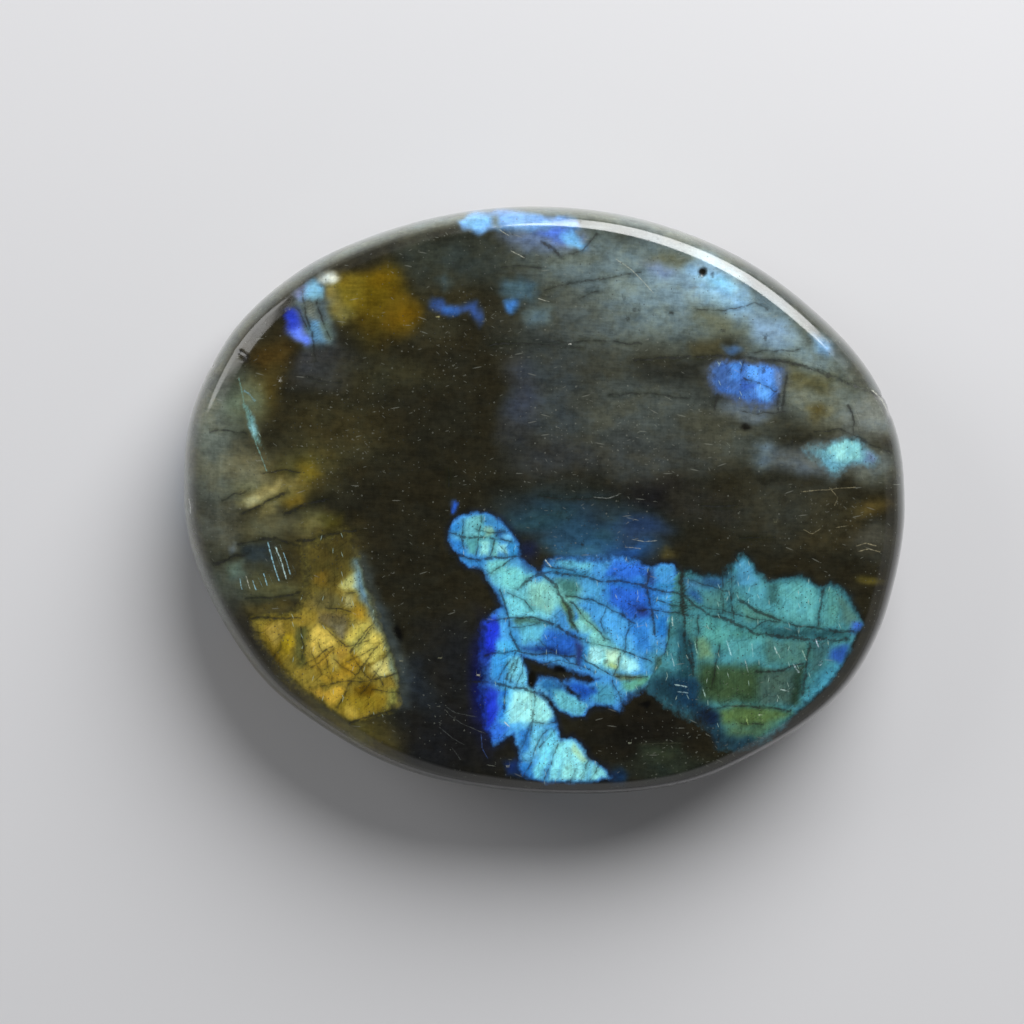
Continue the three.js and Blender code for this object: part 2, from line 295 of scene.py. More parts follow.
# The blue flash below the middle, from its cap down its left side and back up. Tones are
# soft ovals and panes are its crisper facets.
BLUE_FLASH = Sheet(
    outline=[
        (449, 531), (452, 524), (462, 515), (474, 512), (487, 513), (499, 519), (510, 532),
        (518, 543), (520, 550), (518, 557), (527, 565), (541, 573), (546, 563), (560, 559),
        (590, 560), (620, 558), (640, 563), (652, 568), (660, 563), (674, 565), (677, 572),
        (677, 600), (674, 640), (667, 668), (656, 679), (642, 688), (628, 694), (619, 709),
        (606, 706), (594, 706), (588, 709), (585, 715), (572, 716), (560, 711), (551, 699),
        (540, 691), (534, 692), (541, 696), (551, 708), (556, 720), (560, 739), (572, 738),
        (583, 748), (590, 760), (602, 766), (611, 777), (596, 781), (552, 783), (530, 779),
        (518, 768), (521, 756), (514, 733), (504, 738), (493, 746), (486, 722), (483, 700),
        (487, 672), (484, 645), (485, 624), (494, 612), (503, 608), (495, 590), (488, 578),
        (482, 569), (468, 566), (460, 558), (450, 546),
    ],
    gaps=[
        # The dark cleft with its lower end between the lower arm and the tongue.
        [(520, 655), (536, 660), (549, 664), (568, 667), (580, 674), (598, 678), (590, 683),
         (572, 679), (563, 682), (575, 690), (584, 699), (576, 697), (563, 688), (549, 678),
         (539, 678), (534, 688), (529, 684), (527, 671)],
        # The crack that parts the cap from the haze.
        [(518, 543), (529, 552), (541, 562), (539, 573), (529, 566), (520, 553)],
    ],
    base=(80, 160, 225),
    tones=[
        ((100, 180, 195), (480, 535), (32, 22), 0),
        ((115, 200, 215), (506, 578), (32, 24), -30),
        ((130, 215, 220), (532, 602), (34, 24), -30),
        ((125, 195, 190), (560, 594), (38, 22), 0),
        ((45, 115, 205), (632, 596), (44, 40), 0),
        ((80, 165, 230), (605, 618), (38, 24), -35),
        ((78, 160, 230), (632, 642), (30, 22), 0),
        ((45, 105, 195), (565, 642), (34, 16), -15),
        ((135, 226, 240), (606, 652), (38, 26), -30),
        ((95, 170, 155), (640, 684), (28, 12), 15),
        ((76, 150, 185), (656, 660), (16, 22), 0),
        ((42, 105, 190), (580, 690), (22, 11), -30),
        ((80, 165, 200), (604, 697), (18, 12), -20),
        ((90, 178, 205), (560, 698), (28, 16), -35),
        ((32, 48, 190), (484, 640), (15, 44), 0),
        ((76, 176, 240), (506, 650), (18, 36), 0),
        ((30, 46, 185), (484, 712), (19, 46), 0),
        ((90, 195, 252), (506, 704), (13, 32), 0),
        ((150, 240, 254), (528, 706), (36, 30), -20),
        ((115, 205, 252), (536, 748), (32, 22), 0),
        ((145, 236, 248), (572, 760), (42, 30), -40),
    ],
    panes=[
        # The cap.
        ((115, 190, 200), 1.6, [(464, 518), (482, 515), (481, 535), (465, 537)]),
        ((70, 148, 210), 1.6, [(484, 515), (494, 515), (507, 526), (500, 531), (485, 527)]),
        ((160, 215, 190), 1.4, [(485, 528), (493, 527), (495, 533), (486, 536)]),
        ((50, 100, 155), 2, [(498, 529), (509, 532), (502, 538), (495, 534)]),
        ((115, 200, 250), 1.2, [(503, 535), (511, 534), (514, 540), (505, 541)]),
        ((90, 165, 170), 1.2, [(466, 540), (477, 539), (475, 555), (467, 554)]),
        ((150, 225, 225), 1.2, [(480, 541), (491, 540), (488, 556), (478, 556)]),
        ((125, 200, 200), 1, [(493, 541), (500, 541), (497, 556), (490, 556)]),
        ((165, 240, 245), 1.2, [(500, 544), (510, 543), (508, 555), (498, 549)]),
        ((60, 150, 215), 1.6, [(512, 540), (519, 546), (518, 557), (510, 556)]),
        ((55, 140, 210), 1.4, [(449, 531), (454, 524), (461, 524), (461, 532)]),
        ((50, 128, 205), 1.6, [(450, 538), (461, 540), (466, 557), (458, 556), (451, 547)]),
        ((60, 140, 210), 1.6, [(463, 559), (481, 559), (483, 567), (468, 567)]),
        # The neck.
        ((125, 212, 216), 1.6, [(486, 560), (510, 560), (497, 575), (488, 574)]),
        ((125, 214, 218), 2.4, [(500, 568), (520, 568), (534, 577), (517, 590), (500, 582)]),
        ((52, 100, 140), 3, [(521, 560), (534, 564), (541, 572), (528, 571)]),
        ((145, 215, 205), 2.8, [(528, 584), (546, 578), (556, 600), (548, 614), (530, 606)]),
        ((125, 216, 228), 2, [(503, 600), (520, 595), (534, 612), (518, 617), (507, 616)]),
        ((75, 130, 125), 2.8, [(556, 579), (576, 577), (580, 590), (574, 600), (563, 594)]),
        ((60, 132, 175), 2, [(548, 567), (592, 573), (586, 578), (554, 575)]),
        ((110, 195, 215), 2.6, [(556, 562), (594, 562), (590, 571), (560, 566)]),
        ((95, 130, 95), 1.4, [(561, 600), (570, 604), (578, 630), (571, 630)]),
        ((145, 225, 220), 1.2, [(576, 620), (583, 616), (589, 624), (585, 633), (577, 631)]),
        ((140, 212, 190), 1.8, [(574, 604), (588, 614), (602, 636), (591, 632), (580, 616)]),
        ((50, 108, 155), 2, [(494, 596), (502, 600), (508, 620), (500, 620)]),
        # The royal blue shoulder.
        ((50, 110, 215), 2.8, [(612, 561), (644, 563), (649, 574), (628, 580), (606, 577)]),
        ((85, 170, 225), 2.6, [(582, 582), (606, 584), (600, 604), (586, 600)]),
        ((48, 104, 210), 2.8, [(612, 586), (646, 590), (648, 622), (628, 616), (610, 602)]),
        ((85, 172, 238), 2.4, [(582, 604), (604, 606), (628, 622), (622, 636), (600, 622)]),
        ((58, 138, 220), 1.8, [(632, 625), (649, 620), (652, 652), (636, 650)]),
        ((80, 168, 240), 1.6, [(654, 568), (660, 563), (669, 564), (675, 572), (668, 579),
                               (656, 578)]),
        ((58, 140, 200), 1.2, [(655, 582), (678, 584), (678, 589), (656, 589)]),
        ((80, 170, 235), 1.2, [(656, 595), (677, 597), (676, 605), (656, 604)]),
        ((46, 130, 215), 1.8, [(654, 614), (667, 615), (665, 637), (657, 636)]),
        ((104, 178, 165), 1.4, [(668, 614), (676, 614), (676, 648), (668, 648)]),
        ((50, 60, 125), 2.2, [(646, 572), (652, 568), (653, 582), (648, 584)]),
        ((48, 66, 140), 2.4, [(634, 606), (646, 608), (650, 616), (640, 616)]),
        # The middle.
        ((105, 196, 224), 1.8, [(514, 624), (546, 625), (540, 640), (524, 643)]),
        ((78, 125, 115), 1.4, [(512, 618), (534, 618), (548, 624), (520, 625)]),
        ((46, 104, 200), 2.6, [(550, 634), (574, 643), (574, 656), (546, 648)]),
        ((26, 56, 125), 2.4, [(520, 646), (560, 648), (574, 655), (538, 653)]),
        ((44, 56, 115), 2, [(575, 640), (583, 646), (582, 670), (576, 664)]),
        ((60, 146, 212), 1.6, [(584, 636), (588, 648), (587, 674), (582, 664)]),
        ((140, 224, 224), 1.8, [(588, 628), (612, 641), (604, 648), (588, 644)]),
        ((180, 248, 250), 1.8, [(589, 646), (603, 648), (600, 665), (588, 662)]),
        ((200, 242, 212), 1.8, [(605, 648), (620, 652), (618, 664), (603, 663)]),
        ((175, 200, 130), 1.4, [(604, 664), (618, 664), (620, 671), (608, 670)]),
        ((176, 246, 248), 1.8, [(622, 654), (634, 658), (638, 668), (630, 674), (620, 668)]),
        ((110, 120, 80), 1.2, [(612, 674), (644, 676), (640, 679), (616, 679)]),
        ((100, 168, 145), 2.4, [(620, 680), (648, 681), (640, 692), (626, 691)]),
        ((90, 176, 236), 1.8, [(610, 632), (630, 640), (634, 653), (618, 648)]),
        ((64, 95, 85), 2.4, [(655, 656), (668, 652), (667, 684), (655, 682)]),
        # The tongue.
        ((50, 116, 175), 2.4, [(540, 680), (552, 678), (561, 690), (551, 697)]),
        ((110, 198, 218), 1.8, [(552, 690), (576, 695), (588, 707), (580, 716), (562, 708)]),
        ((36, 88, 185), 2.4, [(566, 684), (592, 684), (598, 693), (584, 698)]),
        ((78, 154, 182), 2, [(597, 682), (614, 688), (614, 704), (597, 704)]),
        # The lower arm.
        ((36, 58, 215), 3, [(485, 624), (496, 614), (500, 626), (494, 652), (485, 650)]),
        ((85, 174, 242), 1.6, [(501, 612), (507, 616), (510, 638), (500, 640)]),
        ((90, 196, 252), 1.8, [(496, 641), (514, 641), (517, 651), (496, 652)]),
        ((66, 160, 238), 2.4, [(491, 657), (508, 656), (501, 681), (491, 677)]),
        ((135, 225, 250), 1.6, [(511, 658), (520, 657), (529, 672), (524, 685), (507, 682)]),
        ((48, 128, 228), 1.6, [(498, 690), (506, 690), (504, 718), (497, 722)]),
        ((115, 210, 254), 1.2, [(507, 690), (512, 692), (510, 720), (505, 719)]),
        ((178, 255, 255), 1.8, [(511, 690), (534, 693), (534, 722), (508, 721)]),
        ((168, 248, 250), 2, [(536, 693), (546, 699), (555, 716), (548, 723), (535, 722)]),
        ((38, 64, 215), 3, [(487, 690), (497, 690), (495, 724), (488, 740)]),
        ((56, 118, 225), 2.2, [(494, 722), (507, 726), (504, 737), (490, 745)]),
        ((104, 198, 254), 1.4, [(510, 723), (520, 724), (518, 738)]),
        # The fan at the bottom.
        ((58, 138, 220), 1.8, [(519, 730), (531, 727), (528, 748), (520, 754)]),
        ((122, 216, 252), 1.2, [(534, 727), (547, 727), (534, 752), (529, 750)]),
        ((128, 230, 252), 1.4, [(550, 728), (558, 734), (541, 779), (532, 777)]),
        ((150, 244, 254), 1.4, [(560, 742), (565, 742), (556, 781), (546, 780)]),
        ((160, 245, 250), 2.2, [(568, 741), (584, 752), (582, 780), (559, 781)]),
        ((175, 225, 190), 1.6, [(573, 741), (591, 760), (583, 763), (572, 751)]),
        ((150, 235, 238), 1.4, [(592, 764), (604, 767), (610, 778), (590, 781)]),
        ((50, 132, 215), 1.6, [(519, 763), (532, 764), (530, 777), (521, 775)]),
    ],
    softness=2.1,
    soft_places=[
        (7.0, (590, 560), (66, 16), 0),
        (8.0, (482, 674), (18, 90), 0),
        (4.0, (560, 672), (44, 20), 20),
        (6.0, (640, 694), (50, 20), 30),
        (3.6, (530, 770), (26, 20), 0),
        (3.2, (560, 783), (70, 10), 0),
    ],
    fringe=((44, 92, 190), 3.5, 0.35),
    glow=((18, 32, 66), 8, 0.5),
)

# The teal and green flash at the lower right.
TEAL_FLASH = Sheet(
    outline=[
        (680, 571), (690, 571), (702, 576), (724, 577), (731, 566), (743, 554), (749, 561),
        (757, 572), (768, 582), (785, 578), (803, 577), (814, 584), (823, 590), (832, 583),
        (844, 591), (852, 604), (862, 625), (855, 634), (850, 650), (840, 668), (825, 688),
        (802, 706), (783, 728), (762, 742), (738, 748), (720, 745), (712, 730), (700, 716),
        (680, 710), (660, 700), (648, 690), (650, 668), (658, 640), (664, 600), (668, 576),
    ],
    gaps=[],
    base=(72, 134, 142),
    tones=[
        ((64, 122, 150), (720, 582), (50, 14), 0),
        ((88, 160, 168), (768, 600), (60, 20), -10),
        ((82, 150, 152), (798, 606), (40, 24), 0),
        ((80, 148, 144), (738, 640), (44, 20), 0),
        ((64, 112, 108), (790, 652), (46, 16), 0),
        ((58, 80, 56), (736, 684), (70, 24), 0),
        ((66, 90, 84), (776, 690), (28, 18), 0),
        ((82, 106, 64), (750, 716), (46, 15), 0),
        ((40, 70, 84), (734, 742), (34, 14), 10),
        ((60, 126, 150), (826, 682), (16, 30), -35),
        ((42, 84, 96), (684, 650), (14, 50), 0),
        ((28, 58, 78), (690, 694), (30, 24), 0),
        ((20, 34, 56), (708, 718), (24, 16), -30),
        ((34, 66, 80), (664, 688), (24, 22), 0),
        ((24, 44, 58), (716, 738), (22, 14), 0),
    ],
    panes=[
        ((48, 88, 125), 3, [(702, 576), (722, 577), (722, 590), (703, 584)]),
        ((80, 136, 170), 2, [(684, 576), (700, 579), (702, 588), (686, 589)]),
        ((46, 90, 148), 3, [(686, 590), (700, 592), (702, 602), (692, 598)]),
        ((78, 130, 130), 2.4, [(704, 592), (722, 592), (724, 609), (706, 605)]),
        ((72, 128, 138), 2, [(724, 579), (734, 576), (736, 600), (724, 602)]),
        ((84, 154, 190), 3.4, [(735, 566), (744, 556), (756, 572), (760, 584), (742, 584)]),
        ((84, 154, 168), 2.4, [(738, 586), (766, 586), (768, 612), (750, 606)]),
        ((58, 104, 106), 1.8, [(766, 588), (778, 584), (778, 602), (769, 604)]),
        ((98, 172, 176), 2.4, [(780, 584), (810, 582), (818, 600), (812, 622), (781, 616)]),
        ((88, 152, 148), 1.8, [(826, 586), (836, 589), (838, 626), (821, 627)]),
        ((78, 118, 112), 2.6, [(838, 592), (850, 604), (859, 622), (841, 623)]),
        ((86, 140, 130), 2, [(736, 604), (760, 612), (786, 622), (750, 622)]),
        ((44, 86, 92), 1.8, [(760, 626), (800, 629), (850, 632), (848, 638), (768, 635)]),
        ((90, 165, 162), 2.6, [(702, 616), (726, 622), (730, 640), (702, 640)]),
        ((76, 136, 136), 2.4, [(685, 616), (697, 617), (696, 642), (688, 640)]),
        ((118, 156, 118), 2.8, [(694, 640), (706, 640), (713, 656), (700, 661)]),
        ((86, 158, 164), 2.6, [(726, 636), (762, 640), (766, 661), (723, 661)]),
        ((80, 126, 120), 2.6, [(767, 640), (806, 642), (804, 663), (767, 661)]),
        ((60, 82, 54), 5, [(700, 665), (758, 666), (756, 700), (698, 700)]),
        ((70, 96, 88), 3, [(762, 670), (800, 668), (796, 704), (758, 704)]),
        ((42, 62, 48), 2.4, [(796, 668), (806, 664), (800, 704), (789, 704)]),
        ((60, 98, 100), 2.4, [(813, 642), (830, 642), (824, 664), (811, 674)]),
        ((80, 162, 188), 2.4, [(838, 661), (842, 664), (826, 688), (806, 704), (804, 696),
                               (826, 676)]),
        ((46, 84, 165), 3, [(832, 648), (849, 644), (850, 654), (840, 665), (830, 658)]),
        ((60, 98, 195), 2, [(852, 622), (863, 624), (862, 632), (854, 634)]),
        ((90, 116, 68), 3.4, [(722, 711), (740, 708), (764, 709), (792, 713), (770, 723),
                              (724, 723)]),
        ((78, 106, 76), 4, [(724, 725), (776, 724), (760, 737), (728, 736)]),
        ((34, 60, 72), 4, [(716, 736), (750, 739), (754, 745), (720, 746)]),
        ((28, 60, 84), 5, [(672, 678), (696, 680), (700, 710), (676, 704)]),
        ((72, 136, 148), 2.4, [(668, 640), (678, 640), (677, 672), (668, 668)]),
        ((42, 84, 94), 2.4, [(680, 640), (690, 650), (692, 678), (680, 680)]),
        ((38, 40, 28), 2, [(679, 566), (683, 566), (684, 614), (680, 614)]),
    ],
    softness=3.0,
    soft_places=[
        (10.0, (690, 714), (46, 26), -35),
        (9.0, (740, 744), (46, 16), 10),
        (5.0, (730, 570), (34, 16), 0),
        (4.0, (838, 590), (24, 12), 0),
    ],
    fringe=((42, 84, 108), 4.5, 0.3),
    glow=((26, 36, 44), 8, 0.6),
)

# The gold flash at the lower left, whose right edge is crisp and bluish.
GOLD_FLASH = Sheet(
    outline=[
        (345, 533), (352, 548), (358, 560), (362, 575), (366, 590), (376, 616), (388, 644),
        (395, 664), (398, 684), (398, 704), (388, 711), (366, 718), (352, 723),
        (338, 714), (320, 701), (296, 684), (276, 664), (260, 640), (250, 620), (275, 614),
        (300, 612), (308, 596), (306, 570), (306, 550), (320, 540),
    ],
    gaps=[],
    base=(146, 124, 48),
    tones=[
        ((84, 74, 34), (322, 566), (46, 44), 0),
        ((78, 68, 32), (342, 546), (34, 30), 0),
        ((104, 94, 54), (326, 602), (28, 16), 0),
        ((138, 114, 36), (276, 640), (30, 28), -40),
        ((98, 78, 22), (270, 662), (24, 16), -45),
        ((188, 166, 82), (322, 642), (22, 26), 0),
        ((198, 184, 98), (366, 640), (30, 30), 0),
        ((164, 136, 46), (340, 668), (30, 20), 0),
        ((146, 122, 34), (362, 702), (40, 18), 5),
    ],
    panes=[
        ((124, 98, 34), 3, [(316, 574), (326, 572), (327, 586), (318, 588)]),
        ((196, 194, 122), 2.4, [(339, 586), (350, 573), (358, 572), (356, 591), (345, 592)]),
        ((176, 166, 108), 2, [(342, 596), (354, 594), (354, 606), (344, 606)]),
        ((190, 214, 196), 1.6, [(353, 574), (359, 573), (359, 588), (354, 588)]),
        ((108, 146, 170), 3, [(353, 560), (363, 560), (371, 584), (372, 600), (360, 598)]),
        ((100, 122, 132), 3, [(360, 596), (369, 596), (380, 618), (388, 636), (378, 632)]),
        ((106, 94, 62), 2.4, [(318, 612), (345, 614), (350, 623), (343, 640), (333, 632), (320, 622)]),
        ((142, 130, 96), 2, [(329, 624), (345, 626), (342, 640), (334, 634)]),
        ((184, 146, 46), 2, [(352, 610), (358, 607), (369, 621), (362, 622)]),
        ((224, 192, 88), 1.4, [(308, 634), (318, 625), (330, 632), (337, 642), (332, 647), (314, 656)]),
        ((196, 160, 58), 1.4, [(308, 661), (332, 650), (330, 660), (320, 668), (311, 668)]),
        ((184, 150, 60), 1.6, [(336, 652), (345, 645), (352, 650), (345, 660), (337, 666)]),
        ((196, 174, 84), 1.6, [(328, 656), (337, 654), (338, 668), (330, 668)]),
        ((186, 148, 44), 1.8, [(344, 657), (354, 652), (361, 662), (352, 678), (342, 672)]),
        ((206, 186, 86), 1.6, [(343, 642), (352, 628), (362, 622), (369, 626), (360, 638), (352, 643)]),
        ((230, 208, 102), 1.6, [(358, 651), (372, 632), (383, 646), (376, 660), (366, 664), (358, 657)]),
        ((226, 214, 132), 1.6, [(372, 668), (384, 656), (394, 662), (396, 672), (384, 679), (376, 676)]),
        ((104, 124, 116), 3, [(382, 636), (390, 640), (400, 670), (398, 690), (391, 668)]),
        ((110, 82, 14), 2.4, [(352, 686), (364, 682), (376, 686), (368, 695), (356, 695)]),
        ((196, 164, 64), 2, [(342, 708), (350, 702), (360, 712), (352, 721)]),
        ((210, 168, 60), 1.8, [(323, 694), (334, 686), (343, 690), (336, 704), (328, 704)]),
        ((186, 150, 56), 2, [(310, 690), (321, 688), (326, 698), (318, 700)]),
        ((170, 136, 44), 2, [(320, 676), (345, 670), (345, 681), (324, 684)]),
        ((176, 148, 66), 2, [(262, 626), (282, 620), (285, 640), (276, 648), (267, 640)]),
        ((174, 148, 34), 1.8, [(285, 634), (293, 632), (294, 646), (286, 657), (279, 648)]),
        ((90, 88, 46), 2, [(294, 626), (306, 624), (305, 666), (296, 664)]),
        ((150, 146, 74), 2, [(386, 690), (398, 688), (398, 704), (386, 708)]),
    ],
    softness=2.0,
    soft_places=[
        (12.0, (304, 566), (30, 70), 0),
        (9.0, (290, 690), (54, 26), -40),
        (11.0, (332, 542), (50, 34), 0),
        (7.0, (262, 630), (24, 34), 0),
        (5.0, (374, 612), (24, 74), -20),
        (8.0, (392, 704), (22, 16), 0),
    ],
    fringe=((104, 96, 46), 4, 0.5),
    glow=((48, 48, 36), 10, 0.5),
)

# Two small flashes in the upper right quarter.
RIGHT_BLUE = Sheet(
    outline=[
        (710, 368), (722, 361), (745, 362), (765, 364), (782, 368), (783, 378), (778, 390),
        (776, 400), (768, 406), (756, 404), (742, 400), (732, 396), (718, 392), (712, 382),
    ],
    gaps=[],
    base=(70, 110, 182),
    tones=[((92, 152, 238), (760, 382), (22, 20), 0)],
    panes=[
        ((62, 92, 148), 4, [(712, 366), (728, 364), (730, 380), (716, 390)]),
        ((80, 138, 220), 2, [(730, 364), (741, 364), (740, 382), (732, 378)]),
        ((98, 164, 248), 2, [(746, 364), (758, 365), (758, 378), (746, 376)]),
        ((92, 152, 240), 2, [(760, 366), (774, 368), (772, 386), (760, 382)]),
        ((102, 168, 250), 2, [(756, 386), (774, 390), (772, 402), (760, 398)]),
        ((58, 92, 172), 2.4, [(742, 380), (756, 382), (754, 390), (742, 388)]),
        ((108, 126, 160), 3, [(774, 368), (784, 370), (780, 388), (775, 384)]),
    ],
    softness=3.6,
    soft_places=[(9.0, (752, 408), (34, 16), 0), (7.0, (714, 378), (12, 24), 0)],
    fringe=((84, 96, 120), 4, 0.5),
    glow=((80, 86, 92), 12, 0.6),
)
RIGHT_CYAN = Sheet(
    outline=[
        (808, 450), (820, 446), (832, 443), (845, 438), (858, 439), (868, 447), (878, 459),
        (874, 466), (862, 465), (850, 465), (843, 470), (834, 477), (826, 470), (818, 460),
    ],
    gaps=[],
    base=(106, 158, 174),
    tones=[((130, 196, 208), (842, 452), (28, 14), 0)],
    panes=[
        ((160, 226, 226), 2, [(832, 446), (845, 440), (845, 458), (834, 460)]),
        ((142, 206, 206), 2, [(849, 440), (860, 442), (864, 456), (850, 460)]),
        ((118, 136, 172), 3, [(866, 449), (878, 460), (874, 466), (864, 462)]),
        ((110, 168, 188), 3, [(822, 458), (842, 462), (836, 474), (828, 472)]),
    ],
    softness=4.5,
    soft_places=[(10.0, (812, 454), (24, 20), 0)],
    fringe=((96, 118, 126), 4, 0.6),
    glow=((88, 94, 90), 12, 0.7),
)
LEFT_STREAK = Sheet(
    outline=[
        (242, 402), (248, 406), (254, 416), (258, 432), (260, 446), (255, 440), (250, 430),
        (246, 416),
    ],
    gaps=[],
    base=(112, 152, 150),
    tones=[((150, 200, 205), (254, 428), (5, 12), -15)],
    panes=[],
    softness=2.2,
    soft_places=[],
    fringe=((96, 110, 92), 2, 0.6),
    glow=((84, 82, 58), 5, 0.6),
)
SHEETS = [BLUE_FLASH, TEAL_FLASH, GOLD_FLASH, RIGHT_BLUE, RIGHT_CYAN, LEFT_STREAK]

